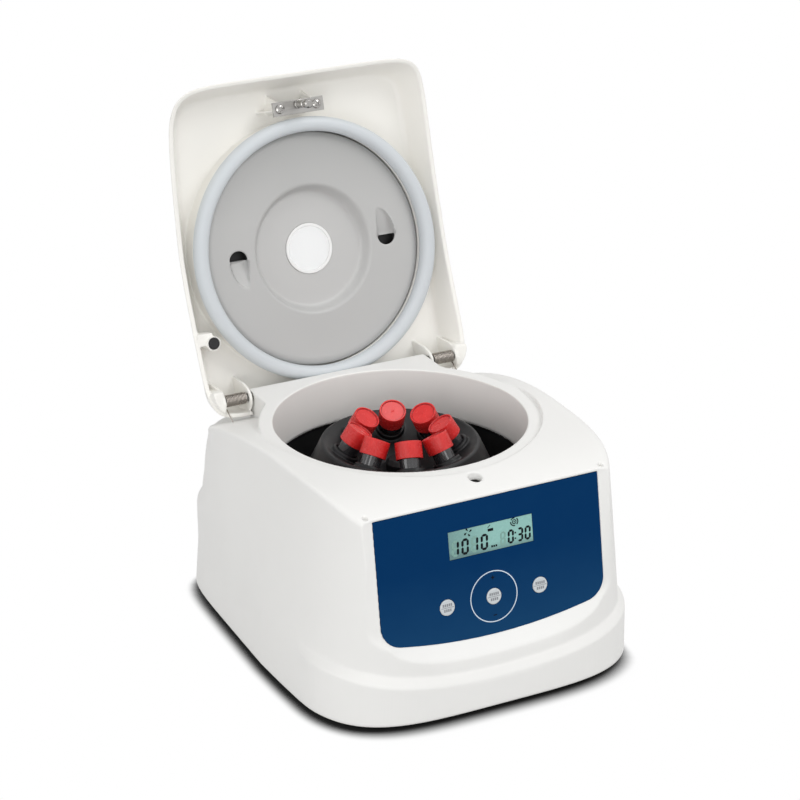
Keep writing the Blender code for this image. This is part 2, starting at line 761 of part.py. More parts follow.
def tube_axis(number):
    """Frame of one tube: origin at its cap's top centre, +Z down the tube."""
    angle = TUBE_PHASE + math.tau * number / TUBES
    start = Vector((CAP_TOP_R * math.cos(angle), CAP_TOP_R * math.sin(angle), CAP_TOP_Z))
    lean = Matrix.Rotation(math.pi - TUBE_TILT, 4, "Y")
    return Matrix.Translation(start) @ Matrix.Rotation(angle, 4, "Z") @ lean


def make_rotor():
    spin = empty("rotor_axis", (0, AXIS_Y, LAND_Z))
    bore = SHAFT_R + GAP
    hub = 0.018
    under = 0.012
    dish_rim = ROTOR_TOP_R - ROTOR_RIM
    dish_z = ROTOR_TOP - (dish_rim - ROTOR_DISH_R) * math.tan(TUBE_TILT)
    profile = [(bore, ROTOR_FOOT + under), (hub, ROTOR_FOOT + under), (hub + under, ROTOR_FOOT)]
    profile += [(ROTOR_FOOT_R - 0.002, ROTOR_FOOT), (ROTOR_FOOT_R, ROTOR_FOOT + 0.003)]
    profile += [(ROTOR_TOP_R + 0.0015, ROTOR_TOP - 0.003), (ROTOR_TOP_R - 0.001, ROTOR_TOP)]
    profile += [(dish_rim, ROTOR_TOP), (ROTOR_DISH_R, dish_z), (bore, dish_z)]
    body = lathe("rotor", profile, ROTOR_POINTS)
    top_inset = CAP_WALL + GAP
    collar = dish_distance(dish_rim) - COLLAR_RISE
    for k in range(TUBES):
        outer = TUBE_R + RUN + COLLAR_WALL
        join(body, drum("collar", outer, collar, collar + 0.008, TUBE_POINTS + 4, tube_axis(k)))
    for k in range(TUBES):
        end = top_inset + TUBE_L + GAP
        cut(body, drum("socket", TUBE_R + RUN, -0.01, end, TUBE_POINTS + 4, tube_axis(k)))
    finish(body, "rotor_body", "rotor_black", spin)
    nut_low = dish_z + GAP
    profile = ((0, nut_low), (NUT_R, nut_low), (NUT_R, nut_low + NUT_H * 0.7))
    profile += ((NUT_R * 0.75, nut_low + NUT_H), (0, nut_low + NUT_H))
    finish(lathe("nut", profile, 12), "rotor_nut", "rotor_black", spin)
    shaft = drum("shaft", SHAFT_R, motor_nose_z() - SHAFT_IN - LAND_Z, dish_z, 16)
    finish(shaft, "rotor_shaft", "steel", spin)
    for k in range(TUBES):
        make_tube(k, top_inset, spin)


def dish_distance(dish_rim):
    """How far down a tube, from its cap's top, the tube's axis meets the rotor's dished top."""
    lean, upright = math.sin(TUBE_TILT), math.cos(TUBE_TILT)
    slope = math.tan(TUBE_TILT)
    drop = CAP_TOP_Z - ROTOR_TOP + (dish_rim - CAP_TOP_R) * slope
    return drop / (upright + lean * slope)


def make_tube(k, top_inset, spin):
    """One sample tube and its screw cap."""
    inner = TUBE_R - TUBE_WALL
    tip = top_inset + TUBE_L
    taper = 0.010
    profile = [(0, tip), (TUBE_R * 0.35, tip), (TUBE_R, tip - taper), (TUBE_R, top_inset)]
    profile += [(inner, top_inset), (inner, tip - taper), (TUBE_R * 0.25, tip - TUBE_WALL)]
    profile += [(0, tip - TUBE_WALL)]
    tube = lathe("tube", profile, TUBE_POINTS, tube_axis(k))
    finish(tube, f"tube_{k + 1}", "tube_clear", spin)
    bore = TUBE_R + GAP
    profile = [(0, 0), (CAP_R - 0.0008, 0), (CAP_R, 0.0008), (CAP_R, CAP_H), (bore, CAP_H)]
    profile += [(bore, CAP_WALL), (0, CAP_WALL)]
    cap = lathe("cap", profile, TUBE_POINTS + 2, tube_axis(k))
    finish(cap, f"cap_{k + 1}", "cap_red", spin)


# Front panel


def make_panel():
    sheet = prism("panel", panel_outline(0, 0, 0), -PANEL_T, 0.0, panel_point)
    half_w, half_h = SCREEN_W / 2, SCREEN_H / 2
    mid = SCREEN_TOP + half_h
    low, high = mid - half_h, mid + half_h
    window = [(-half_w, low), (half_w, low), (half_w, high), (-half_w, high)]
    cut(sheet, prism("window", window, -0.01, 0.01, panel_point))
    for column in (-1, 0, 1):
        hole = [(column * BUTTON_PITCH + a, BUTTON_DOWN + b) for a, b in disc_outline(BUTTON_R + GAP, 20)]
        cut(sheet, prism("key hole", hole, -0.01, 0.01, panel_point))
    finish(sheet, "front_panel", "panel_blue")
    glass = [(a * (1 - GAP / half_w), mid + (b - mid) * (1 - GAP / half_h)) for a, b in window]
    screen = prism("screen", glass, -SCREEN_T, -GAP, panel_point)
    finish(screen, "lcd_module", "screen_green")
    board_half = PANEL_HALF_WIDTH - PANEL_OPENING_MARGIN - 2 * GAP
    low = PANEL_OPENING_MARGIN + 2 * GAP
    high = PANEL_H - PANEL_SAG - PANEL_OPENING_MARGIN - 2 * GAP
    outline = [(-board_half, low), (board_half, low), (board_half, high), (-board_half, high)]
    back = -SCREEN_T - GAP
    board = prism("board", outline, back - BOARD_T, back, panel_point)
    finish(board, "control_board", "board_green")
    for column, name in ((-1, "left"), (0, "centre"), (1, "right")):
        make_button(column * BUTTON_PITCH, f"button_{name}")


def make_button(x, name):
    """One round key, built about its own centre on the panel face."""
    rim = 0.0006
    profile = ((0, -BUTTON_DEPTH), (BUTTON_R, -BUTTON_DEPTH), (BUTTON_R, BUTTON_PROUD - rim))
    profile += ((BUTTON_R - rim, BUTTON_PROUD), (0, BUTTON_PROUD))
    key = finish(lathe("key", profile, 20), name, "key_grey")
    key.location = panel_point(x, BUTTON_DOWN, 0)
    key.rotation_euler = (math.pi / 2 - PANEL_TILT, 0, 0)


# Hinge pins and springs


def make_hinges():
    for side, name in ((-1, "left"), (1, "right")):
        low, high = sorted((side * PIN_IN, side * PIN_OUT))
        pin = about_x(low, high, disc_outline(PIN_R, 16), "pin", HINGE)
        finish(pin, f"hinge_pin_{name}", "steel")
        make_spring(side, f"hinge_spring_{name}")


def spring_route(side):
    """Points of a torsion spring about the hinge axis, from its inner end to the tip of its leg."""
    points = []
    steps = SPRING_TURNS * SPRING_TURN_POINTS
    start = math.radians(90)
    for k in range(steps + 1):
        turn = start + math.tau * (k / SPRING_TURN_POINTS) + math.radians(180) * k / steps
        x = side * between(SPRING_START, SPRING_END, k / steps)
        points.append(Vector((x, SPRING_R * math.cos(turn), SPRING_R * math.sin(turn))))
    tail = points[0] + Vector((0, 2.2 * SPRING_WIRE_R, 0))
    foot_y = -SPRING_LEG
    deck = crown(HINGE_Y + foot_y) + HINGE_DROP
    foot = Vector((points[-1].x, foot_y, deck + SPRING_WIRE_R + 2 * GAP))
    middle = points[-1].lerp(foot, 0.5)
    return [tail] + points + [middle, foot]


def least_gap(points, wire_radius, near):
    """Smallest clear distance between stretches of a wire that aren't neighbours along it."""
    least = 1.0
    for i, first in enumerate(points):
        for second in points[i + near :]:
            least = min(least, (first - second).length - 2 * wire_radius)
    return least


def make_spring(side, name):
    route = spring_route(side)
    gap = least_gap(route, SPRING_WIRE_R, SPRING_TURN_POINTS // 2)
    print(f"{name}: least gap between turns {gap * 1000:.2f} mm")
    curve = bpy.data.curves.new(name, "CURVE")
    curve.dimensions = "3D"
    curve.bevel_depth = SPRING_WIRE_R
    curve.bevel_resolution = 1
    curve.use_fill_caps = True
    spline = curve.splines.new("POLY")
    spline.points.add(len(route) - 1)
    for point, place in zip(spline.points, route):
        point.co = (*place, 1.0)
    made = bpy.data.objects.new(name, curve)
    made.location = HINGE
    curve.materials.append(material("steel"))
    bpy.context.scene.collection.objects.link(made)


# Lid: built shut, about the hinge axis, and swung open by its pivot


def lid_height(y_from_axis, share):
    """Height on the lid's outside, from the hinge axis, for a share of the way from rim to roof."""
    rim = crown(y_from_axis) + LID_RIM_GAP
    roof = LID_ROOF_RISE - (y_from_axis - CROWN_Y) ** 2 / (2 * LID_ROOF_RADIUS)
    return between(rim, roof, share) + HINGE_DROP


def lid_ring(inset, share, wall):
    """One ring of the lid; wall moves it inward and down for the inside."""
    outline = plan(
        LID_HALF_WIDTH - inset - wall,
        LID_MIDDLE,
        LID_FRONT - inset * LID_FRONT_SLOPE - wall,
        LID_REAR - inset * LID_REAR_SLOPE - wall,
        LID_FRONT_POWER,
        LID_REAR_POWER,
    )
    return [Vector((x, y, lid_height(y + HINGE_Y, share) - wall * share)) for x, y in outline]


def lid_outside():
    return loft("lid outside", [lid_ring(inset, share, 0.0) for inset, share in LID_RINGS], mirrored=True)


def lid_inside():
    rings = [lid_ring(inset, share, LID_WALL) for inset, share in LID_RINGS]
    skirt = [point - Vector((0, 0, 0.04)) for point in rings[0]]
    return loft("lid inside", [skirt] + rings, mirrored=True)


MOUTH = Matrix.Translation((0, -HINGE_Y, HINGE_DROP))  # bowl centre on the land, seen from the hinge axis
GASKET_BASE = GASKET_LIFT + GASKET_H


def ear_block(side):
    """One hinge ear: a rounded tip about the pin, with a sloping rib up to the roof."""
    outline = disc_outline(EAR_R, 14, 180, 180)
    rib = GASKET_BASE + HINGE_DROP + GAP
    outline += [(EAR_R, 0.045), (-0.050, 0.045), (-0.040, rib + 0.004), (-0.026, rib)]
    low, high = sorted((side * EAR_IN, side * (LID_HALF_WIDTH + 0.01)))
    return about_x(low, high, outline, "ear")


def ear_pocket(side):
    """The space in an ear that holds the spring, open at the front and below."""
    outline = [(-0.060, -0.040), (POCKET_R, -0.040), (POCKET_R, 0.0)]
    outline += disc_outline(POCKET_R, 4, 0, 90)[1:] + [(-0.060, POCKET_R + 0.001)]
    low, high = sorted((side * (EAR_IN + EAR_WALL), side * EAR_BOSS_IN))
    return about_x(low, high, outline, "pocket")


def striker_posts():
    """Places of the two posts that carry the striker plate."""
    y = STRIKER_Y - HINGE_Y
    return [Matrix.Translation((x, y, HINGE_DROP)) for x in (-STRIKER_SCREW_X, STRIKER_SCREW_X)]


def make_lid_shell(pivot):
    hollow = lid_inside()
    cut(hollow, ring_bar("pedestal", PEDESTAL_IN, PEDESTAL_OUT, GASKET_BASE + GAP, 0.08, ROUND_POINTS, MOUTH))
    post_low = STRIKER_FACE + STRIKER_T + GAP
    for place in striker_posts():
        cut(hollow, drum("post", STRIKER_POST_R, post_low, 0.08, 16, place))
    boss = Matrix.Translation((BUMPER_X, BUMPER_Y, 0))
    boss_low = lid_bumper_foot() + BUMPER_L * 0.5
    cut(hollow, drum("boss", BUMPER_BOSS_R, boss_low, 0.08, 16, boss))
    for side in (-1, 1):
        cut(hollow, ear_block(side))
    shell = cut(lid_outside(), hollow)
    clear = [(-0.030, -0.060), (0.060, -0.060), (0.060, LID_REAR_CLEAR), (-0.030, LID_REAR_CLEAR)]
    inner = EAR_IN
    cut(shell, about_x(-inner, inner, clear, "rear wall"))
    for side in (-1, 1):
        low, high = sorted((side * (inner - 0.001), side * 0.2))
        swing = about_x(low, high, [(-0.004, -0.060), (0.060, -0.060), (0.060, 0.0), (-0.004, 0.0)], "swing")
        cut(swing, about_x(-0.3, 0.3, disc_outline(EAR_R, 28), "tip"))
        cut(shell, swing)
    for side in (-1, 1):
        cut(shell, ear_pocket(side))
        low, high = sorted((side * (inner - 0.01), side * (PIN_OUT + GAP)))
        cut(shell, about_x(low, high, disc_outline(PIN_R + RUN, 16), "pin hole"))
    cut(shell, drum("roof hole", ROOF_HOLE_R, 0.0, 0.08, 32, MOUTH))
    for place in striker_posts():
        cut(shell, drum("screw hole", STRIKER_SHANK_R + GAP, 0.0, post_low + STRIKER_SHANK_L, 10, place))
    cut(shell, drum("plug hole", BUMPER_R + GAP, -0.03, lid_bumper_foot() + BUMPER_L + GAP, 16, boss))
    finish(shell, "lid_shell", "lid_ivory", pivot)


def lid_bumper_foot():
    """Lower face of the rubber plug, just clear of the deck when the lid is shut."""
    return crown(HINGE_Y + BUMPER_Y) + HINGE_DROP + BUMPER_LIFT + 0.004


def make_lid_fittings(pivot):
    """Gasket, liner, window and rubber plug."""
    mid = GASKET_LIFT + GASKET_H / 2
    section = []
    for k in range(GASKET_SIDES):
        turn = math.tau * k / GASKET_SIDES
        section.append((GASKET_R + GASKET_HALF_W * math.cos(turn), mid + GASKET_H / 2 * math.sin(turn)))
    finish(lathe("gasket", section, ROUND_POINTS, MOUTH), "lid_gasket", "gasket_grey", pivot)
    face = GASKET_BASE - LINER_T
    back = GASKET_BASE
    edge = GASKET_R - GASKET_HALF_W - GAP
    hole = WINDOW_R + GAP
    profile = [(hole, face + DISH_DEPTH), (DISH_IN, face + DISH_DEPTH), (DISH_OUT, face), (edge, face)]
    profile += [(edge, back), (DISH_OUT, back), (DISH_IN, back + DISH_DEPTH), (hole, back + DISH_DEPTH)]
    liner = lathe("liner", profile, ROUND_POINTS, MOUTH)
    for side in (-1, 1):
        place = MOUTH @ Matrix.Translation((side * SLOT_R, side * -0.004, 0))
        slot = drum("slot", SLOT_HALF_W, 0.0, 0.03, 16, place)
        low = place @ Vector((-0.02, 0, -0.01))
        high = place @ Vector((0.02, 0.03, 0.05))
        if side > 0:
            low = place @ Vector((-0.02, -0.03, -0.01))
            high = place @ Vector((0.02, 0, 0.05))
        cut(slot, box("half", low, high))
        cut(liner, slot)
    finish(liner, "lid_liner", "liner_grey", pivot)
    low = face + DISH_DEPTH
    window = drum("window", WINDOW_R, low, low + WINDOW_T, 32, MOUTH)
    finish(window, "lid_window", "window_clear", pivot)
    boss = Matrix.Translation((BUMPER_X, BUMPER_Y, lid_bumper_foot()))
    plug = drum("plug", BUMPER_R, 0.0, BUMPER_L, 16, boss)
    finish(plug, "lid_bumper", "rubber_black", pivot)


def make_striker(pivot):
    """The steel plate, its grooved pin and its two screws."""
    y = STRIKER_Y - HINGE_Y
    face = STRIKER_FACE + HINGE_DROP
    low = (-STRIKER_W / 2, y - STRIKER_D / 2, face)
    high = (STRIKER_W / 2, y + STRIKER_D / 2, face + STRIKER_T)
    plate = box("plate", low, high)
    for place in striker_posts():
        cut(plate, drum("screw hole", STRIKER_SHANK_R + GAP, 0.0, 0.05, 10, place))
    middle = Matrix.Translation((0, y, face))
    cut(plate, drum("pin hole", STRIKER_PIN_R * 0.7 + GAP, -0.01, 0.01, 12, middle))
    finish(plate, "striker_plate", "steel", pivot)
    neck = STRIKER_PIN_R * 0.7
    head = -STRIKER_PIN_L
    collar = 0.0025
    profile = [(0, STRIKER_T), (neck, STRIKER_T), (neck, -GAP), (STRIKER_HEAD_R, -GAP)]
    profile += [(STRIKER_HEAD_R, -GAP - collar), (STRIKER_PIN_R, -GAP - collar)]
    profile += [(STRIKER_PIN_R, head + STRIKER_HEAD_H), (STRIKER_HEAD_R, head + STRIKER_HEAD_H)]
    profile += [(STRIKER_HEAD_R, head + 0.0015), (STRIKER_HEAD_R * 0.6, head), (0, head)]
    finish(lathe("pin", profile, 14, middle), "striker_pin", "steel", pivot)
    for place, name in zip(striker_posts(), ("left", "right")):
        top = STRIKER_FACE - GAP
        tip = STRIKER_FACE + STRIKER_SHANK_L
        profile = [(0, top - STRIKER_SCREW_HEAD), (STRIKER_SCREW_R * 0.7, top - STRIKER_SCREW_HEAD)]
        profile += [(STRIKER_SCREW_R, top - STRIKER_SCREW_HEAD * 0.4), (STRIKER_SCREW_R, top)]
        profile += [(STRIKER_SHANK_R, top), (STRIKER_SHANK_R, tip), (0, tip)]
        finish(lathe("screw", profile, 12, place), f"striker_screw_{name}", "steel", pivot)


def make_lid():
    pivot = empty("lid_pivot", HINGE, (-LID_OPEN, 0, 0))
    make_lid_shell(pivot)
    make_lid_fittings(pivot)
    make_striker(pivot)


# Latch under the deck, and rear fittings


def make_latch():
    y = AXIS_Y + STRIKER_Y
    head_top = STRIKER_FACE - STRIKER_PIN_L + STRIKER_HEAD_H
    slider_low = LAND_Z + head_top + GAP
    floor = slider_low - GAP
    front = LAND_Z + crown(STRIKER_Y - LATCH_HALF_W) - WALL - GAP
    rear = LAND_Z + crown(STRIKER_Y + LATCH_HALF_W - LATCH_WALL) - WALL - GAP
    outline = [(-LATCH_HALF_W, floor - LATCH_WALL), (LATCH_HALF_W, floor - LATCH_WALL)]
    outline += [(LATCH_HALF_W, rear), (LATCH_HALF_W - LATCH_WALL, rear), (LATCH_HALF_W - LATCH_WALL, floor)]
    inner = LATCH_WALL - LATCH_HALF_W
    outline += [(inner, floor), (inner, front), (-LATCH_HALF_W, front)]
    channel = about_x(LATCH_LEFT, LATCH_RIGHT, outline, "channel", Vector((0, y, 0)))
    place = Matrix.Translation((0, y, 0))
    cut(channel, drum("pin way", LATCH_HOLE_R, floor - 0.01, floor + 0.01, 16, place))
    finish(channel, "latch_bracket", "steel")
    half = LATCH_HALF_W - LATCH_WALL - RUN
    low = (SLIDER_REST - SLIDER_L, -half, 0)
    slider = finish(box("slider", low, (SLIDER_REST, half, SLIDER_T)), "latch_slider", "steel")
    slider.location = (0, y, slider_low)
    under = floor - LATCH_WALL - GAP
    coil_low = (LATCH_LEFT, y - LATCH_HALF_W, under - 0.016)
    coil = box("coil", coil_low, (-LATCH_HOLE_R - 0.004, y + LATCH_HALF_W, under))
    finish(coil, "latch_solenoid", "black_plastic")
    switch_low = (LATCH_HOLE_R + 0.004, y - 0.004, under - 0.010)
    switch = box("switch", switch_low, (LATCH_HOLE_R + 0.022, y + 0.004, under))
    finish(switch, "lid_switch", "black_plastic")


def make_rear(pan_top):
    wall = rear_wall_y()
    lip_low = wall + GAP
    low = (INLET_X - INLET_W / 2, wall - INLET_D, INLET_Z - INLET_H / 2)
    high = (INLET_X + INLET_W / 2, lip_low + 0.001, INLET_Z + INLET_H / 2)
    body = box("inlet", low, high)
    low = (INLET_X - INLET_W / 2 - INLET_LIP, lip_low, INLET_Z - INLET_H / 2 - INLET_LIP)
    high = (INLET_X + INLET_W / 2 + INLET_LIP, lip_low + 0.0025, INLET_Z + INLET_H / 2 + INLET_LIP)
    join(body, box("lip", low, high))
    socket_low = (INLET_X - INLET_W / 2 + 0.003, wall - INLET_D + 0.004, INLET_Z - INLET_H / 2 + 0.003)
    socket_high = (INLET_X + INLET_W / 2 - 0.003, wall + 0.02, INLET_Z + INLET_H / 2 - 0.003)
    socket = box("socket", socket_low, socket_high)
    for x in (-0.007, 0.0, 0.007):
        blade = (INLET_X + x - 0.001, wall - INLET_D, INLET_Z - 0.002)
        blade_end = (INLET_X + x + 0.001, wall - 0.006, INLET_Z + 0.002)
        cut(socket, box("blade", blade, blade_end))
    cut(body, socket)
    finish(body, "power_inlet", "black_plastic")
    half = SWITCH_H / 2 - RUN
    depth = 0.009
    rise = half * math.tan(SWITCH_TILT)
    outline = [(-depth, -half * 0.6), (-depth, half * 0.6), (0.0, half), (0.001 + rise, half), (0.001, 0)]
    outline += [(0.001 + rise * 0.2, -half), (0.0, -half)]
    rocker = about_x(-SWITCH_W / 2 + RUN, SWITCH_W / 2 - RUN, outline, "rocker")
    finish(rocker, "power_rocker", "black_plastic")
    rocker.location = (SWITCH_X, wall - 0.003, INLET_Z)
    board_y = wall - INLET_D - GAP
    low = (-0.080, board_y - BOARD_T, pan_top + GAP)
    finish(box("board", low, (0.080, board_y, pan_top + 0.060)), "power_board", "board_green")


for old in list(bpy.data.objects):
    bpy.data.objects.remove(old)
make_housing()
pan_top = make_base()
make_bowl()
make_motor(pan_top)
make_rotor()
make_panel()
make_hinges()
make_lid()
make_latch()
make_rear(pan_top)
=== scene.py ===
"""A bench centrifuge with its lid open, in a plain white studio.

Lengths are in metres. Large moulded pieces are signed distance fields, negative inside, which
are sampled on a grid and turned into a surface. "Ring frame" means x, y from the rotor axis and
z from the flat land round the bowl. "Shut frame" means the lid's own place when it is shut,
measured from the hinge axis.
"""

import functools
import itertools
import json
import math

import bpy
import numpy as np
from mathutils import Matrix, Vector


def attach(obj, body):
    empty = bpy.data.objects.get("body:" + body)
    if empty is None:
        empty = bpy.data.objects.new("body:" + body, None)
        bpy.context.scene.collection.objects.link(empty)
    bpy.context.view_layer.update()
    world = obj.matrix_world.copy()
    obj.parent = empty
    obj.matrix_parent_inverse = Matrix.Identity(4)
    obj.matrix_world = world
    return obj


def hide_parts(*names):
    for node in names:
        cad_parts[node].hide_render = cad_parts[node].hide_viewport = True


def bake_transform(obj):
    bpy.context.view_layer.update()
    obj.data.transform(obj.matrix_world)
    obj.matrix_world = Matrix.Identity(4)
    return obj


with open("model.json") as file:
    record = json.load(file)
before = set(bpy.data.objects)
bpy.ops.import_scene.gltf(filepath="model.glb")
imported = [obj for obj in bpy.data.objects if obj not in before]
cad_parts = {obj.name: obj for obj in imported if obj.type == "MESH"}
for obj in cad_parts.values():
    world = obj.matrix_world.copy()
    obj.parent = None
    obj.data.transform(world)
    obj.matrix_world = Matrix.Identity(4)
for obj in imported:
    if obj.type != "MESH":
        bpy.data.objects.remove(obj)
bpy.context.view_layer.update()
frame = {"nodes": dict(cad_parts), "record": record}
scene = bpy.context.scene


def shift(x, y, z):
    return Matrix.Translation((x, y, z))


# Places shared with the frame
AXIS_Y = -0.0117
LAND_Z = 0.181
GAP = 0.0003
RUN = 0.0005
RING = shift(0, AXIS_Y, LAND_Z)
HINGE_Y = 0.1089
HINGE_DROP = 0.0048
LID_OPEN = math.radians(106.5)
LID = shift(0, AXIS_Y + HINGE_Y, LAND_Z - HINGE_DROP) @ Matrix.Rotation(-LID_OPEN, 4, "X")
LID_RING_Y = -HINGE_Y - 0.0018  # middle of the lid's gasket
LID_MOUTH = LID @ shift(0, LID_RING_Y, HINGE_DROP)
SIDES = ((-1, "left"), (1, "right"))

# Camera

CAMERA_AIM = Vector((0, -0.0112, 0.1975))
CAMERA_AZIMUTH, CAMERA_ELEVATION = math.radians(-27.82), math.radians(23.38)
CAMERA_DISTANCE = 2.2677
CAMERA_LENS, CAMERA_SENSOR = 125.61, 36.0  # millimetres


def make_camera():
    flat = math.cos(CAMERA_ELEVATION)
    side, ahead = math.sin(CAMERA_AZIMUTH) * flat, -math.cos(CAMERA_AZIMUTH) * flat
    back = Vector((side, ahead, math.sin(CAMERA_ELEVATION)))
    data = bpy.data.cameras.new("camera")
    data.sensor_width = CAMERA_SENSOR
    data.lens = CAMERA_LENS
    camera = bpy.data.objects.new("camera", data)
    camera.location = CAMERA_AIM + back * CAMERA_DISTANCE
    camera.rotation_euler = (-back).to_track_quat("-Z", "Y").to_euler()
    scene.collection.objects.link(camera)
    scene.camera = camera


# Materials


class Graph:
    """A material's nodes, with short ways to add and join them."""

    def __init__(self, name):
        self.material = bpy.data.materials.new(name)
        self.material.use_nodes = True
        self.tree = self.material.node_tree
        self.shader = self.tree.nodes["Principled BSDF"]

    def add(self, kind, **inputs):
        node = self.tree.nodes.new(kind)
        for key, value in inputs.items():
            self.put(node.inputs[key.replace("_", " ")], value)
        return node

    def put(self, socket, value):
        if isinstance(value, bpy.types.NodeSocket):
            self.tree.links.new(value, socket)
        else:
            socket.default_value = value

    def surface(self, **inputs):
        """Sets the shader's own sockets, and gives the finished material."""
        for key, value in inputs.items():
            self.put(self.shader.inputs[key.replace("_", " ")], value)
        return self.material

    def maths(self, operation, first, second=0.0):
        node = self.tree.nodes.new("ShaderNodeMath")
        node.operation = operation
        for socket, value in zip(node.inputs, (first, second)):
            self.put(socket, value)
        return node.outputs[0]

    def place(self):
        """Places on the piece, and their x, y and z."""
        place = self.add("ShaderNodeTexCoord").outputs["Object"]
        return place, self.add("ShaderNodeSeparateXYZ", Vector=place).outputs

    def radius(self, parts):
        squares = [self.maths("POWER", part, 2.0) for part in parts[:2]]
        return self.maths("POWER", self.maths("ADD", *squares), 0.5)

    def noise(self, scale, detail=3.0, stretch=(1, 1, 1)):
        place = self.add("ShaderNodeTexCoord").outputs["Object"]
        mapping = self.add("ShaderNodeMapping", Vector=place, Scale=stretch)
        node = self.add("ShaderNodeTexNoise", Vector=mapping.outputs[0], Scale=scale, Detail=detail)
        return node.outputs["Fac"]

    def spread(self, value, low, high, start=0.3, end=0.7):
        span = dict(From_Min=start, From_Max=end, To_Min=low, To_Max=high)
        return self.add("ShaderNodeMapRange", Value=value, **span).outputs[0]

    def tone(self, scale):
        """A slow drift from 0 to 1."""
        return self.spread(self.noise(scale, 4.0), 0.0, 1.0)

    def blend(self, factor, first, second):
        node = self.tree.nodes.new("ShaderNodeMix")
        node.data_type = "RGBA"
        self.put(node.inputs[0], factor)
        for socket, value in zip(node.inputs[6:8], (first, second)):
            self.put(socket, (*value, 1.0) if isinstance(value, tuple) else value)
        return node.outputs[2]

    def mix_shaders(self, factor, first, second):
        node = self.add("ShaderNodeMixShader", Fac=factor)
        for socket, shader in zip(node.inputs[1:3], (first, second)):
            self.put(socket, shader.outputs[0])
        return node

    def bump(self, height, distance, normal=None):
        node = self.add("ShaderNodeBump", Height=height, Strength=1.0, Distance=distance)
        if normal is not None:
            self.put(node.inputs["Normal"], normal)
        return node.outputs[0]

    def grain(self, scale=1500.0, depth=0.00003, normal=None):
        """Normals of a finely grained surface."""
        return self.bump(self.noise(scale, 2.0), depth, normal)


def linear(*srgb):
    """A colour in linear light from its sRGB values."""
    return tuple(v / 12.92 if v <= 0.04045 else ((v + 0.055) / 1.055) ** 2.4 for v in srgb)


def moulded(name, colour, roughness, grain=1500.0, depth=0.00003, drift=0.03, spread=0.06, **sockets):
    """Moulded material: a fine grain, a slow drift of tone and an uneven sheen."""
    g = Graph(name)
    darker = tuple(v * (1 - drift) for v in colour)
    return g.surface(
        Base_Color=g.blend(g.tone(9.0), darker, colour),
        Roughness=g.spread(g.noise(60.0, 4.0), roughness - spread, roughness + spread),
        Normal=g.grain(grain, depth),
        **sockets,
    )


def metal(name, colour, roughness, stretch, depth):
    """Drawn or brushed metal with its lines along one direction."""
    g = Graph(name)
    drawn = g.noise(900.0, 3.0, stretch)
    darker = tuple(v * 0.86 for v in colour)
    return g.surface(
        Base_Color=g.blend(g.spread(drawn, 0.0, 1.0), darker, colour),
        Roughness=g.spread(g.noise(120.0), roughness - 0.06, roughness + 0.08),
        Normal=g.bump(drawn, depth),
        Metallic=1.0,
    )


def cap_plastic():
    """Red cap with fine upright ribs round its side, and painted shade darkening the recess round its top."""
    g = Graph("cap_red")
    place, parts = g.place()
    turn = g.add("ShaderNodeTexGradient", Vector=place)
    turn.gradient_type = "RADIAL"
    ribs = g.maths("SINE", g.maths("MULTIPLY", turn.outputs["Fac"], math.tau * CAP_RIBS))
    radius = g.radius(parts)
    on_side = g.maths("GREATER_THAN", radius, CAP_R - 0.0003)
    plain = g.blend(g.tone(140.0), (0.66, 0.020, 0.020), (0.76, 0.032, 0.030))
    # Painted shade: a darker red ring over the recess round the cap's top
    groove_shade = (g.spread(radius, 0.0, 0.75, 0.0087, 0.0093), g.spread(radius, 1.0, 0.0, 0.0096, 0.0100))
    return g.surface(
        Base_Color=g.blend(g.maths("MULTIPLY", *groove_shade), plain, (0.30, 0.006, 0.008)),
        Roughness=g.spread(g.noise(300.0), 0.22, 0.30),
        Specular_IOR_Level=0.4,
        Normal=g.grain(2600.0, 0.00001, g.bump(g.maths("MULTIPLY", ribs, on_side), 0.00006)),
    )


def liner_plastic():
    """Grey plate of the lid, with painted light and shade: paler in the dish, darker towards the front."""
    g = Graph("liner_grey")
    parts = g.place()[1]
    # Painted light and shade: the dish is made paler and the plate darker towards its front
    dish = g.spread(g.radius(parts), 0.38, 0.0, 0.048, 0.056)
    front = g.spread(parts[1], 0.0, 0.62, -0.100, -0.030)
    tone = g.maths("ADD", g.maths("ADD", dish, front), g.spread(g.noise(9.0, 4.0), -0.04, 0.04))
    return g.surface(
        Base_Color=g.blend(tone, (0.425, 0.427, 0.420), (0.555, 0.553, 0.545)),
        Roughness=g.spread(g.noise(60.0, 4.0), 0.36, 0.48),
        Normal=g.grain(),
    )


def housing_plastic():
    """White moulding with a fine grain; painted light makes it paler and warmer down the mouth's inner wall.
    """
    g = Graph("housing_white")
    tone = g.tone(9.0)
    outside = g.blend(tone, (0.845, 0.840, 0.820), (0.87, 0.865, 0.845))
    # Painted light: a paler, warmer colour down the mouth's inner wall stands in for light falling into the
    # mouth
    painted_skirt_light = g.blend(tone, (0.955, 0.935, 0.905), (0.97, 0.95, 0.92))
    in_mouth = g.spread(g.radius(g.place()[1]), 1.0, 0.0, MOUTH_R + 0.0001, MOUTH_R + 0.0006)
    return g.surface(
        Base_Color=g.blend(in_mouth, outside, painted_skirt_light),
        Roughness=g.spread(g.noise(60.0, 4.0), 0.40, 0.52),
        Normal=g.grain(),
    )


def screen_glass():
    """Display face: grey-green, with painted shade making it darker to the left and low edges."""
    g = Graph("screen_green")
    parts = g.place()[1]
    # Painted shade: darker towards the display's left and lower edges, where its window's edge shades it
    left = g.spread(parts[0], 0.75, 0.0, -0.040, 0.002)
    low = g.spread(parts[2], 0.85, 0.0, 0.127, 0.1335)
    shade = g.maths("MINIMUM", g.maths("ADD", left, low), 1.0)
    shade = g.maths("ADD", shade, g.spread(g.noise(90.0), -0.02, 0.02))
    return g.surface(
        Base_Color=g.blend(shade, linear(0.555, 0.745, 0.715), linear(0.38, 0.51, 0.51)),
        Roughness=g.spread(g.noise(200.0), 0.22, 0.3),
    )


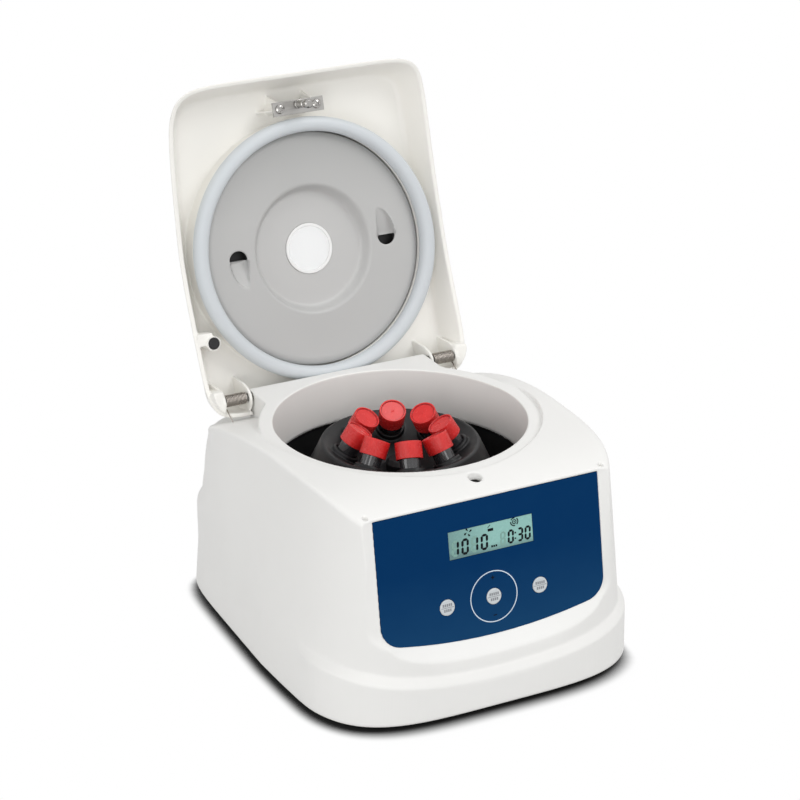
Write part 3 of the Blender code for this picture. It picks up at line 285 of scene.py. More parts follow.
def panel_paint():
    """Blue panel, a little lighter towards its foot."""
    g = Graph("panel_blue")
    low = g.spread(g.place()[1][1], 1.0, 0.0, -0.110, -0.045)
    low = g.maths("ADD", low, g.spread(g.noise(40.0), -0.06, 0.06))
    return g.surface(
        Base_Color=g.blend(low, (0.0, 0.031, 0.112), (0.006, 0.050, 0.138)),
        Roughness=g.spread(g.noise(200.0), 0.42, 0.52),
        Normal=g.grain(3000.0, 0.00001),
        Specular_IOR_Level=0.05,
    )


# Colour, roughness and what differs from the usual moulded look
MOULDED = {
    "lid_ivory": ((0.92, 0.905, 0.862), 0.44, {}),
    "gasket_grey": ((0.63, 0.665, 0.69), 0.48, dict(grain=2200.0)),
    "key_grey": (linear(0.80, 0.82, 0.83), 0.45, dict(grain=3000.0, drift=0.05)),
    "ink_white": (linear(0.83, 0.88, 0.93), 0.5, dict(grain=3000.0, drift=0.08)),
    "ink_dark": ((0.004, 0.006, 0.008), 0.6, dict(grain=3000.0, drift=0.2, Specular_IOR_Level=0.1)),
    "ink_grey": ((0.27, 0.28, 0.30), 0.5, dict(grain=3000.0, drift=0.15)),
    "ink_ghost": (linear(0.50, 0.66, 0.62), 0.4, dict(grain=3000.0, drift=0.1)),
    "rotor_black": ((0.011, 0.011, 0.012), 0.40, dict(grain=1800.0, drift=0.25, Specular_IOR_Level=0.32)),
    "rim_white": ((0.92, 0.92, 0.91), 0.35, {}),
    "bowl_black": ((0.007, 0.007, 0.0075), 0.55, dict(grain=900.0, depth=0.00005, drift=0.3)),
    "rubber_black": ((0.020, 0.020, 0.021), 0.75, dict(grain=1600.0, depth=0.00012, drift=0.4)),
    "tube_clear": (
        (0.050, 0.048, 0.053),
        0.09,
        dict(grain=60.0, depth=0.0, spread=0.02, Transmission_Weight=0.4, IOR=1.7),
    ),
    "window_clear": (
        (0.95, 0.955, 0.955),
        0.22,
        dict(grain=900.0, depth=0.00002, Transmission_Weight=0.85, IOR=1.3),
    ),
    "board_green": ((0.03, 0.15, 0.06), 0.5, dict(grain=300.0, depth=0.0001, drift=0.3)),
    "black_plastic": ((0.018, 0.018, 0.020), 0.45, dict(grain=1400.0, depth=0.00006, drift=0.3)),
}
# Colour, roughness, stretch of the drawn lines and their depth
METALS = {
    "steel": ((0.43, 0.42, 0.405), 0.32, (0.05, 1, 1), 0.000015),
    "steel_bright": ((0.40, 0.39, 0.375), 0.15, (1, 1, 0.2), 0.000006),
    "spring_steel": ((0.42, 0.385, 0.35), 0.26, (1, 1, 1), 0.000008),
}


def make_materials():
    made = {
        "housing_white": housing_plastic(),
        "liner_grey": liner_plastic(),
        "panel_blue": panel_paint(),
        "screen_green": screen_glass(),
        "cap_red": cap_plastic(),
    }
    for name, (colour, roughness, rest) in MOULDED.items():
        made[name] = moulded(name, colour, roughness, **rest)
    for name, look in METALS.items():
        made[name] = metal(name, *look)
    return made


# Meshes


def mesh_object(name, points, faces, material, normals=None):
    mesh = bpy.data.meshes.new(name)
    points = np.asarray(points, np.float32)
    if isinstance(faces, np.ndarray):
        count, sides = faces.shape
        mesh.vertices.add(len(points))
        mesh.vertices.foreach_set("co", points.ravel())
        mesh.loops.add(count * sides)
        mesh.loops.foreach_set("vertex_index", faces.astype(np.int32).ravel())
        mesh.polygons.add(count)
        mesh.polygons.foreach_set("loop_start", np.arange(0, count * sides, sides, dtype=np.int32))
        mesh.update(calc_edges=True)
    else:
        mesh.from_pydata(points.tolist(), [], faces)
    mesh.validate()
    mesh.polygons.foreach_set("use_smooth", np.ones(len(mesh.polygons), bool))
    if normals is not None:
        mesh.normals_split_custom_set_from_vertices(np.asarray(normals).tolist())
    mesh.materials.append(material)
    made = bpy.data.objects.new(name, mesh)
    scene.collection.objects.link(made)
    return made


def settle(made, body, slot, *nodes):
    """Puts a finished piece on its body."""
    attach(made, body)
    if nodes:
        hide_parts(*nodes)
    return made


def evaluated(made):
    """The object's mesh with its modifiers or curve shape applied."""
    graph = bpy.context.evaluated_depsgraph_get()
    return bpy.data.meshes.new_from_object(made.evaluated_get(graph))


# Fields


def lines(start, *steps):
    """Grid lines from a start through (step, end) pairs."""
    found = [np.array([start])]
    for step, end in steps:
        count = max(1, round((end - start) / step))
        found.append(np.linspace(start, end, count + 1)[1:])
        start = end
    return np.concatenate(found)


def grid(*axes):
    """Grid lines of a field, and its places along x, y and z."""
    axes = [np.asarray(a, np.float32) for a in axes]
    x, y, z = axes
    return axes, (x[:, None, None], y[None, :, None], z[None, None, :])


def round_max(a, b, r):
    """Where both fields hold, with the edge between them rounded."""
    return np.minimum(np.maximum(a, b), -r) + np.hypot(np.maximum(a + r, 0), np.maximum(b + r, 0))


def round_min(a, b, r):
    """Where either field holds, with the corner between them filled."""
    return -round_max(-a, -b, r)


def both(*fields):
    """Where all the fields hold."""
    return functools.reduce(np.maximum, fields)


def either(*fields):
    """Where any of the fields holds."""
    return functools.reduce(np.minimum, fields)


def outline(x, y, half, middle, front, rear, powers, taper=0.0, nose=0.0):
    """Rounded plan outline: 0 on the line, negative inside; also how much of it is front or rear wall."""
    ahead = y < middle
    reach = np.where(ahead, middle + front, rear - middle)
    power = np.where(ahead, powers[0], powers[1]).astype(np.float32)
    width = half - taper * np.maximum(y - middle, 0) - nose * np.maximum(middle - y, 0)
    across = np.abs(x / width) ** power
    along = np.abs((y - middle) / reach) ** power
    total = across + along
    return total ** (1 / power) - 1, along / np.maximum(total, 1e-6)


def as_distance(field, axes):
    """A field divided by its slope, so that it measures distance near its surface."""
    slopes = np.gradient(field, *axes)
    return field / np.maximum(np.sqrt(sum(s * s for s in slopes)), 1.0)


def polygon_field(u, v, corners):
    """Distance to a closed outline in the u, v plane, negative inside."""
    best = None
    inside = False
    for (au, av), (bu, bv) in zip(corners, corners[1:] + corners[:1]):
        eu, ev = bu - au, bv - av
        wu, wv = u - au, v - av
        share = np.clip((wu * eu + wv * ev) / (eu * eu + ev * ev), 0, 1)
        away = (wu - share * eu) ** 2 + (wv - share * ev) ** 2
        best = away if best is None else np.minimum(best, away)
        crossing = (av > v) != (bv > v)
        reach = (bu - au) * (v - av) / (bv - av if bv != av else 1e-9) + au
        inside = inside ^ (crossing & (u < reach))
    return np.sqrt(best) * np.where(inside, -1, 1)


def nets(field, axes):
    """Surface nets: a point in each grid cell that the surface crosses, a quad across each crossed line."""
    cells = [n - 1 for n in field.shape]
    inside = field < 0
    quads, points = [], []
    for axis in range(3):
        low, high = [slice(None)] * 3, [slice(None)] * 3
        low[axis], high[axis] = slice(None, -1), slice(1, None)
        low, high = tuple(low), tuple(high)
        u, v = (axis + 1) % 3, (axis + 2) % 3
        at = np.argwhere(inside[low] != inside[high])
        at = at[(at[:, u] > 0) & (at[:, u] < cells[u]) & (at[:, v] > 0) & (at[:, v] < cells[v])]
        first, second = field[low][tuple(at.T)], field[high][tuple(at.T)]
        place = np.stack([axes[d][at[:, d]] for d in range(3)], 1)
        place[:, axis] += first / (first - second) * (axes[axis][at[:, axis] + 1] - axes[axis][at[:, axis]])
        around = []
        for du, dv in ((0, 0), (-1, 0), (-1, -1), (0, -1)):
            cell = at.copy()
            cell[:, u] += du
            cell[:, v] += dv
            around.append(np.ravel_multi_index(cell.T, cells))
        around = np.stack(around, 1)
        flip = first > 0
        around[flip] = around[flip][:, ::-1]
        quads.append(around)
        points.append(place)
    quads, points = np.concatenate(quads), np.concatenate(points)
    index = np.unique(quads.ravel(), return_inverse=True)[1]
    count = np.bincount(index)
    spots = np.repeat(points, 4, axis=0)
    middle = np.stack([np.bincount(index, spots[:, d]) / count for d in range(3)], 1)
    return middle, index.reshape(-1, 4)


def sample(values, axes, points):
    """Values of a gridded field at points, by straight interpolation."""
    index, share = [], []
    for d in range(3):
        k = np.clip(np.searchsorted(axes[d], points[:, d]) - 1, 0, len(axes[d]) - 2)
        index.append(k)
        share.append((points[:, d] - axes[d][k]) / (axes[d][k + 1] - axes[d][k]))
    total = 0.0
    for corner in itertools.product((0, 1), repeat=3):
        weight = 1.0
        for d in range(3):
            weight = weight * (share[d] if corner[d] else 1 - share[d])
        total = total + weight * values[tuple(index[d] + corner[d] for d in range(3))]
    return total


def field_piece(name, field, axes, place, material, keep=1.0):
    """A piece from a field; keep is the share of its faces that are kept."""
    field = field.astype(np.float32)
    points, quads = nets(field, axes)
    slopes = [np.gradient(field, axes[d], axis=d) for d in range(3)]
    slope = np.stack([sample(s, axes, points) for s in slopes], 1)
    size = np.maximum((slope * slope).sum(1), 0.25)
    step = np.clip(sample(field, axes, points) / size, -0.0006, 0.0006)
    points = points - slope * step[:, None]
    made = mesh_object(name, points, quads, material)
    if keep < 1.0:
        cutter = made.modifiers.new("thin", "DECIMATE")
        cutter.ratio = keep
        old = made.data
        made.data = evaluated(made)
        made.modifiers.clear()
        bpy.data.meshes.remove(old)
    mesh = made.data
    spots = np.empty(len(mesh.vertices) * 3, np.float32)
    mesh.vertices.foreach_get("co", spots)
    spots = spots.reshape(-1, 3)
    normals = np.stack([sample(s, axes, spots) for s in slopes], 1)
    normals /= np.maximum(np.linalg.norm(normals, axis=1), 1e-6)[:, None]
    mesh.polygons.foreach_set("use_smooth", np.ones(len(mesh.polygons), bool))
    mesh.normals_split_custom_set_from_vertices(normals.tolist())
    made.matrix_world = place
    return made


# Housing

MOUTH_R = 0.104
LAND_R = 0.1155
SKIRT_H = 0.0425
SKIRT_WALL = 0.003
WALL = 0.003
BEZEL_Y = 0.1465
BEZEL_SLOPE = 0.21
PANEL_TILT = math.radians(9.4)
PANEL_SET_BACK = 0.0024
PANEL_DROP = 0.0031
PANEL_HALF = 0.0997
PANEL_H = 0.1092
PANEL_SAG = 0.0072
PANEL_CORNER = 0.0185
PANEL_T = 0.002
BLOCK_HALF = 0.083
BLOCK_REAR = 0.1143
STRIKER_Y = -0.1245
DECK_FRONT_Z = -0.0094  # deck's front edge, above the land
CROWN_TOP, CROWN_Y = 0.0044, -0.0366  # highest line of the deck, above the land
CROWN_FALL, CROWN_RUN, CROWN_POWER = 0.0132, 0.1099, 4.15  # its fall to the front edge
CROWN_R = 0.3707  # its curve to the rear
LEDGE_START = 0.1637  # from the highest line back to the ledge
BOWED_CORNER = 0.83  # corner radius of the frame's edge, as a share of the panel's
FRAME_WIDTH = 0.0135  # sloping frame below the panel
PLINTH_H, PLINTH_RISE = 0.0395, 0.0088
PLINTH_STEP = 0.0088  # height over which the wall widens to the plinth
PLINTH_END_Y, PLINTH_FADE = -0.080, 0.045  # where the plinth leaves the side walls
HALF_WIDTHS = ((0.1446, 0.0806), (0.1460, 0.0124))  # at the floor and loss with height: wall, plinth
FRONT_REACHES = ((0.1743, 0.0350), (0.1779, 0.0140))  # the same for the front
REAR_REACHES = ((0.0, 0.1515), (0.080, 0.1505), (0.087, 0.1470), (0.097, 0.1390))  # height, reach
REAR_REACHES += ((0.115, 0.1385), (0.148, 0.1465), (0.20, 0.1470))
FLOOR_GAP = 0.005  # housing's lower edge above the floor
LATCH_COLLAR = 0.0061  # foot of the collar round the latch hole, below the land
DIMPLE_X, DIMPLE_IN, DIMPLE_R = 0.1046, 0.006, 0.0022
PIN_BORE = 0.0035
BAY_Z = 0.048
REAR_FITTINGS = ((0.055, 0.031, 0.024), (-0.055, 0.0135, 0.021))  # middle, width, height
PANEL_OVER = 0.0025  # panel's top edge above its datum
LEDGE_Z = -0.0318  # flat ledge behind the hinge
BAY_Y = 0.1424  # floor of the connector bay in the rear wall


def crown(y):
    """Height of the arched deck above the land: flat over the mouth, then falling to the front edge."""
    away = y - CROWN_Y
    front = CROWN_FALL * (np.maximum(-away, 0) / CROWN_RUN) ** CROWN_POWER
    return np.maximum(CROWN_TOP - np.maximum(away, 0) ** 2 / (2 * CROWN_R) - front, LEDGE_Z)


def crown_slope(y):
    away = y - CROWN_Y
    front = (np.maximum(-away, 0) / CROWN_RUN) ** (CROWN_POWER - 1)
    rear = np.where(away < LEDGE_START, np.maximum(away, 0) / CROWN_R, 0)
    return CROWN_FALL / CROWN_RUN * CROWN_POWER * front - rear


def upright(height, *stops):
    """A size that changes with height, with its corners softened."""
    at, value = zip(*stops)
    return sum(np.interp(height + s, at, value) for s in np.linspace(-0.0016, 0.0016, 9)) / 9


def panel_places(x, y, z):
    """Ring frame to places on the panel: across, down from its top edge, and out of its face."""
    lean, rise = math.sin(PANEL_TILT), math.cos(PANEL_TILT)
    dy = y + BEZEL_Y - PANEL_SET_BACK
    dz = z - DECK_FRONT_Z + PANEL_DROP
    return x, -(dy * lean + dz * rise), -dy * rise + dz * lean


def panel_edge(across, down):
    """Distance to the panel's side and lower edges, negative inside."""
    flat = PANEL_HALF - PANEL_CORNER
    bow = flat**2 / (2 * PANEL_SAG)
    bend = np.clip(across, -PANEL_HALF, PANEL_HALF)
    low = (down - PANEL_H + bend**2 / (2 * bow)) / np.sqrt(1 + (bend / bow) ** 2)
    return round_max(np.abs(across) - PANEL_HALF, low, PANEL_CORNER * BOWED_CORNER)


def plinth_line(x):
    """Height of the plinth's upper edge, which rises towards the corners."""
    return PLINTH_H + PLINTH_RISE * (x / 0.1) ** 2


def body_plan(x, y, h):
    """The upright walls at a height, negative inside."""
    steps = np.linspace(-0.0010, 0.0010, 7)
    plinth = sum(np.clip((plinth_line(x) - h + s) / PLINTH_STEP, 0, 1) for s in steps) / 7
    fade = np.clip((PLINTH_END_Y - y) / PLINTH_FADE, 0, 1)
    above, below = (size - loss * h for size, loss in HALF_WIDTHS)
    half = above + (below - above) * plinth * fade * fade * (3 - 2 * fade)
    above, below = (size - loss * h for size, loss in FRONT_REACHES)
    front = above + (below - above) * plinth
    rear = upright(h, *REAR_REACHES)
    middle = upright(h, (0.047, -0.030), (0.20, 0.0157))
    taper = upright(h, (0.047, 0.057), (LAND_Z, 0.0))
    nose = upright(h, (0.047, 0.0), (LAND_Z, 0.028))
    front_power = upright(h, (0.047, 4.0), (LAND_Z, 5.0))
    rear_power = upright(h, (0.085, 9.0), (0.148, 4.6))
    return outline(x, y, half, middle, front, rear, (front_power, rear_power), taper, nose)[0]


def frame_ramp(edge, down):
    """Rise of the frame round the panel with the distance from its edge, and the slope of that rise."""
    lean, rise = math.sin(PANEL_TILT), math.cos(PANEL_TILT)
    depth = (PANEL_SET_BACK - down * lean + (PANEL_DROP + down * rise) * BEZEL_SLOPE) * rise
    low_share = np.clip((down - PANEL_H + PANEL_SAG + PANEL_CORNER) / PANEL_CORNER, 0, 1)
    level = np.clip(0.11 - 10.8 * (down - 0.04), -0.45, 0.20)
    slope = level + (np.maximum(depth, 0.004) / FRAME_WIDTH - level) * low_share**2
    return np.maximum(edge, 0) * slope + np.maximum(-PANEL_OVER - down, 0) * 0.2, slope


def make_housing(material):
    coarse, fine = 0.0013, 0.0009
    wide = ((coarse, -0.1180), (fine, -0.0940), (coarse, 0.0940), (fine, 0.1180), (coarse, 0.1490))
    up = ((fine, -0.170), (0.0022, -0.150), (0.0008, -0.112), (0.0021, -0.036), (0.0007, 0.007))
    axes, (x, y, z) = grid(
        lines(-0.1490, *wide),
        lines(-0.184, (0.0010, -0.138), (0.0014, 0.088), (0.0011, 0.156)),
        lines(-0.1776, *up),
    )
    radius = np.hypot(x, y)
    side = as_distance(body_plan(x, y, z + LAND_Z), axes)
    top = (z - crown(y)) / np.sqrt(1 + crown_slope(y) ** 2)
    body = round_max(side, top, 0.0030)
    body = round_max(body, FLOOR_GAP - LAND_Z - z, 0.0028)
    # Slanted bezel and the sloping frame that leads down to the panel
    bezel = (-(y + BEZEL_Y) - (DECK_FRONT_Z - z) * BEZEL_SLOPE) / math.sqrt(1 + BEZEL_SLOPE**2)
    bezel = either(bezel, (z - plinth_line(x) + LAND_Z) * 0.7)
    body = round_max(body, bezel, 0.0014)
    across, down, out = panel_places(x, y, z)
    edge = panel_edge(across, down)
    ramp, slope = frame_ramp(edge, down)
    body = round_max(body, (out - ramp) / np.sqrt(1 + slope**2), 0.0007)
    # Flat land round the mouth and the hinge block behind it, cut straight at the rear to clear the gasket
    block = round_max(np.abs(x) - BLOCK_HALF, y - BLOCK_REAR, 0.002)
    block = both(block, 0.05 - y)
    region = both(round_min(radius - LAND_R, block, 0.003), y - BLOCK_REAR)
    body = round_max(body, -round_max(region, -z, 0.0006), 0.0010)
    body = round_min(body, round_max(region, z, 0.0012), 0.0016)
    body = round_max(body, MOUTH_R - radius, 0.0007)
    # Hollow inside, apart from the walls that are kept
    kept = (
        both(-(out + PANEL_T + GAP + WALL), down - PANEL_H - 0.0195),
        both(radius - LAND_R - WALL, -WALL - z),
        both(radius - MOUTH_R - SKIRT_WALL, -SKIRT_H - z),
        both(region, -0.040 - z),
    )
    hollow = both(side + WALL, top + WALL, y - BAY_Y + WALL, *(-part for part in kept))
    body = both(body, -hollow)
    # Panel pocket and the opening behind it
    pocket = both(both(edge, -PANEL_OVER - down) - GAP, -(out + PANEL_T + GAP))
    opening = both(np.abs(across) - 0.0865, 0.014 - down, down - 0.0868, -0.020 - out, out)
    body = both(body, -pocket, -opening)
    # Latch hole, corner dimples, hinge pin holes and rear openings
    hole = np.hypot(x, y - STRIKER_Y)
    body = round_min(body, both(hole - 0.0085, -LATCH_COLLAR - z, top + 0.001), 0.0010)
    funnel = 0.0047 + np.clip((z + LATCH_COLLAR) / 0.005, 0, 1) * 0.0012
    body = round_max(body, np.where(z < -0.020, -1.0, funnel - hole), 0.0006)
    dimple = np.hypot(np.abs(x) - DIMPLE_X, y - DIMPLE_IN + BEZEL_Y) - DIMPLE_R
    floor = crown(np.float32(DIMPLE_IN - BEZEL_Y)) - 0.0024
    body = round_max(body, -both(dimple, floor - z), 0.0004)
    pin = np.hypot(y - HINGE_Y, z + HINGE_DROP) - PIN_BORE
    body = both(body, -both(pin, 0.064 - np.abs(x)))
    level = np.abs(z - BAY_Z + LAND_Z)
    bay = both(np.abs(x) - 0.0830, level - 0.0300)
    body = round_max(body, -round_max(bay, BAY_Y - y, 0.0020), 0.0015)
    for middle, width, height in REAR_FITTINGS:
        rear = both(np.abs(x - middle) - width / 2, level - height / 2) - GAP
        body = both(body, -both(rear, 0.113 - y))
    return field_piece("housing", body, axes, RING, material, 0.5)


# Lid shell

LID_HALF = 0.1238
LID_FRONT = 0.2606
LID_MIDDLE, LID_REAR = -0.122, 0.0165
LID_POWERS, LID_NOSE = (9.5, 11.0), 0.035
LID_WALL = 0.0038
LID_ROOF = 0.034
LID_HOLE_R = 0.0245
LID_RIM = ((-0.262, -0.0052), (-0.250, 0.0009), (-0.240, 0.0045), (-0.228, 0.0072))  # y, height
LID_RIM += ((-0.200, 0.0104), (-0.170, 0.0126), (-0.140, 0.0138), (-0.113, 0.0136))
LID_RIM += ((-0.090, 0.0120), (-0.063, 0.0083), (-0.030, 0.0034), (0.017, -0.0034))
GASKET_BASE = 0.0146  # foot of the gasket above the land, with the lid shut
EAR_IN = 0.0846
EAR_WALL = 0.0025
EAR_R = 0.0155
EAR_BOSS_IN = 0.1085
EAR_LINE = [(-0.0172, 0.045), (-0.0168, 0.034), (-0.0113, 0.0060), (-0.0078, -0.0018)]
EAR_LINE += [(-0.0035, -0.0057), (0.0015, -0.0068), (0.0062, -0.0056), (0.0105, -0.0018)]
EAR_LINE += [(0.0138, 0.0035), (0.0152, 0.0085), (0.0155, 0.045)]
PIN_OUT = 0.1125
PLATE_OFF = 0.0020  # middle of the striker plate behind its pin
PLATE_T = 0.0015
PLATE_FACE = 0.0040 + HINGE_DROP
PLATE_BACK = PLATE_FACE + PLATE_T + GAP
PLATE_Y = STRIKER_Y + PLATE_OFF - HINGE_Y
POST_X = 0.017
SCREW_BORE = 0.0021
PLUG_X, PLUG_Y = -0.1081, -0.049
PLUG_FOOT = crown(np.float32(HINGE_Y + PLUG_Y)) + HINGE_DROP + 0.0052  # plug's lower end, above the deck


def lid_levels(y):
    """Heights of the lid's rim and of its roof, in the shut frame."""
    at, level = zip(*LID_RIM)
    rim = sum(np.interp(y + s, at, level) for s in np.linspace(-0.008, 0.008, 9)) / 9
    roof = LID_ROOF - (y + HINGE_Y - CROWN_Y) ** 2 / 2 + HINGE_DROP
    return rim, roof


def lid_body(edge, slope, y, z, wall, shoulder):
    """The lid's outside, or with a wall its inside, without its lower limit: sloping sides, shallow dome."""
    rim, roof = lid_levels(y)
    side = (edge + slope * np.maximum(z - rim, 0)) / np.sqrt(1 + slope**2) + wall
    return round_max(side, z - roof + wall, shoulder)


def striker_posts(x, y, z):
    """Posts, gussets and a fin behind the striker plate, each with the size of its fillet."""
    made = []
    for post_x, gusset_x in ((-POST_X, -0.0182), (POST_X, 0.0140)):
        post = both(np.hypot(x - post_x, y - PLATE_Y) - 0.0048, PLATE_BACK - z)
        slant = [(PLATE_Y - 0.0062, PLATE_BACK), (PLATE_Y + 0.004, PLATE_BACK)]
        slant += [(PLATE_Y + 0.004, 0.05), (PLATE_Y - 0.0175, 0.05)]
        gusset = both(polygon_field(y, z, slant), np.abs(x - gusset_x) - 0.0009)
        made.append((either(post, gusset), 0.0012))
    fin = [(-0.0235, PLATE_BACK + 0.001), (-0.0170, PLATE_BACK + 0.001), (-0.0170, 0.05), (-0.0350, 0.05)]
    fin = both(polygon_field(x, z, fin), np.abs(y - PLATE_Y - 0.0010) - 0.0009)
    return made + [(fin, 0.0010)]


def make_lid_shell(material):
    axes, (x, y, z) = grid(
        lines(-0.1272, (0.0007, -0.0830), (0.0010, 0.0830), (0.0007, 0.1272)),
        lines(-0.2640, (0.0009, -0.020), (0.0007, 0.0190)),
        lines(-0.0160, (0.0008, 0.0200), (0.0010, 0.0425)),
    )
    plan, along = outline(x, y, LID_HALF, LID_MIDDLE, LID_FRONT, LID_REAR, LID_POWERS, nose=LID_NOSE)
    slopes = np.gradient(plan[:, :, 0], axes[0], axes[1])
    edge = plan / np.maximum(np.hypot(*slopes), 1.0)[:, :, None]
    slope = 0.42 - np.where(y > LID_MIDDLE, 0.32 * along, 0.12 * along**4)
    rim = lid_levels(y)[0]
    outside = lid_body(edge, slope, y, z, 0.0, 0.0070)
    inside = lid_body(edge, slope, y, z, LID_WALL, 0.0040)
    rim_side = (rim - z) / np.sqrt(1 + np.gradient(rim[0, :, 0], axes[1])[None, :, None] ** 2)
    solid = round_max(outside, rim_side, 0.0009)
    shell = round_max(solid, -inside, 0.0006)
    # Ring that carries the gasket
    mouth = np.hypot(x, y - LID_RING_Y)
    ring = both(np.abs(mouth - 0.1047) - 0.0047, GASKET_BASE + GAP + HINGE_DROP - z)
    shell = round_min(shell, both(ring, outside), 0.0015)
    for part, fillet in striker_posts(x, y, z):
        shell = round_min(shell, both(part, outside), fillet)
    # Boss for the rubber plug, webbed to the left wall
    boss = both(np.hypot(x - PLUG_X, y - PLUG_Y) - 0.0062, PLUG_FOOT + 0.0006 - z)
    web = both(np.abs(y - PLUG_Y + 0.0039) - 0.0050, np.abs(x + 0.118) - 0.0105)
    boss = round_min(boss, both(web, PLUG_FOOT + 0.0036 - z), 0.0010)
    shell = round_min(shell, both(boss, inside - 0.0010), 0.0010)
    # Hinge ears: two plates each side, with a bearing block between the outer one and the corner
    plates = [np.abs(np.abs(x) - place - EAR_WALL / 2) for place in (EAR_IN, EAR_BOSS_IN)]
    ear = both(polygon_field(y, z, EAR_LINE), either(*plates) - EAR_WALL / 2)
    shell = round_min(shell, both(ear, outside), 0.0010)
    reach = np.abs(x) - EAR_BOSS_IN
    block = round_max(both(-reach, reach - 0.0115), -0.0095 - y, 0.0030)
    block = round_max(block, -0.0050 - 0.35 * reach - z, 0.0025)
    shell = round_min(shell, both(block, inside - 0.0010), 0.0010)
    rear = both(np.abs(x) - EAR_IN, -0.030 - y, z - 0.014)
    shell = round_max(shell, -rear, 0.0008)
    about = np.hypot(y, z)
    swing = both(-0.004 - y, z, EAR_R - about, 0.0836 - np.abs(x))
    shell = round_max(shell, -swing, 0.0008)
    lip = both(EAR_IN + EAR_WALL - np.abs(x), reach, 0.004 - y, z + 0.0022)
    shell = round_max(shell, -lip, 0.0010)
    shell = both(shell, -both(about - PIN_BORE, np.abs(x) - PIN_OUT - GAP))
    # Holes
    shell = round_max(shell, LID_HOLE_R - mouth, 0.0010)
    for post_x in (-POST_X, POST_X):
        shank = np.hypot(x - post_x, y - PLATE_Y) - SCREW_BORE
        shell = both(shell, -both(shank, z - PLATE_BACK - 0.007))
    hole = np.hypot(x - PLUG_X, y - PLUG_Y) - 0.0050
    shell = round_max(shell, -both(hole, z - PLUG_FOOT - 0.0083), 0.0004)
    return field_piece("lid_shell_moulding", shell, axes, LID, material, 0.6)


# Rounded turnings


def rounded(profile, radius, closed=False, steps=4):
    """Profile (r, z) with its corners rounded, and the outward normal at each point; runs anticlockwise."""
    corners = [np.array(p, float) for p in profile]
    count = len(corners)
    points, normals = [], []
    for k, corner in enumerate(corners):
        if not closed and k in (0, count - 1):
            other = corners[1] if k == 0 else corners[-2]
            along = (other - corner) if k == 0 else (corner - other)
            along = along / np.linalg.norm(along)
            points.append(corner)
            normals.append((along[1], -along[0]))
            continue
        before, after = corners[k - 1] - corner, corners[(k + 1) % count] - corner
        size = min(np.linalg.norm(before), np.linalg.norm(after))
        before, after = before / np.linalg.norm(before), after / np.linalg.norm(after)
        half = math.acos(np.clip(before @ after, -1, 1)) / 2
        if half > math.radians(89):
            points.append(corner)
            normals.append((after[1], -after[0]))
            continue
        r = min(radius, 0.45 * size * math.tan(half))
        start_normal = np.array((-before[1], before[0]))
        end_normal = np.array((after[1], -after[0]))
        middle = corner + (before + after) / np.linalg.norm(before + after) * r / math.sin(half)
        sign = 1 if start_normal @ (corner - middle) > 0 else -1
        for s in range(steps + 1):
            mix = start_normal * (1 - s / steps) + end_normal * (s / steps)
            mix = mix / np.linalg.norm(mix)
            points.append(middle + mix * r * sign)
            normals.append(tuple(mix))
    return points, normals


def turned(name, profile, radius, material, place=Matrix.Identity(4), closed=False, count=48, steps=4):
    """A turned piece about +Z of its place."""
    points, normals = rounded(profile, radius, closed, steps)
    spots, ways, faces, starts = [], [], [], []
    for (r, z), (nr, nz) in zip(points, normals):
        pole = r < 1e-7
        starts.append((len(spots), pole))
        for k in range(1 if pole else count):
            turn = math.tau * k / count
            spots.append((r * math.cos(turn), r * math.sin(turn), z))
            ways.append((0, 0, nz) if pole else (nr * math.cos(turn), nr * math.sin(turn), nz))
    pairs = list(zip(starts, starts[1:] + (starts[:1] if closed else [])))
    for (low, low_pole), (high, high_pole) in pairs:
        if low_pole and high_pole:
            continue
        for k in range(count):
            n = (k + 1) % count
            ring = [low] if low_pole else [low + k, low + n]
            ring += [high] if high_pole else [high + n, high + k]
            faces.append(tuple(ring))
    made = mesh_object(name, spots, faces, material, ways)
    made.matrix_world = place
    return made


# Rotor

TUBES = 8
TUBE_TURN, TUBE_TILT = math.radians(28), math.radians(32)
TUBE_R, TUBE_TIP = 0.0085, -0.0903
CAP_R, CAP_H, CAP_RIBS = 0.011, 0.014, 60
CAP_RING, CAP_TOP = 0.0328, -0.0065  # circle of the caps' top centres, and their height
SHAFT_BORE = 0.0043


def tube_frame(k):
    """Frame of one tube: origin at its cap's top centre, +Z out of the cap, in the ring frame."""
    angle = TUBE_TURN + math.tau * k / TUBES
    start = Vector((CAP_RING * math.cos(angle), CAP_RING * math.sin(angle), CAP_TOP))
    return Matrix.Translation(start) @ Matrix.Rotation(angle, 4, "Z") @ Matrix.Rotation(-TUBE_TILT, 4, "Y")


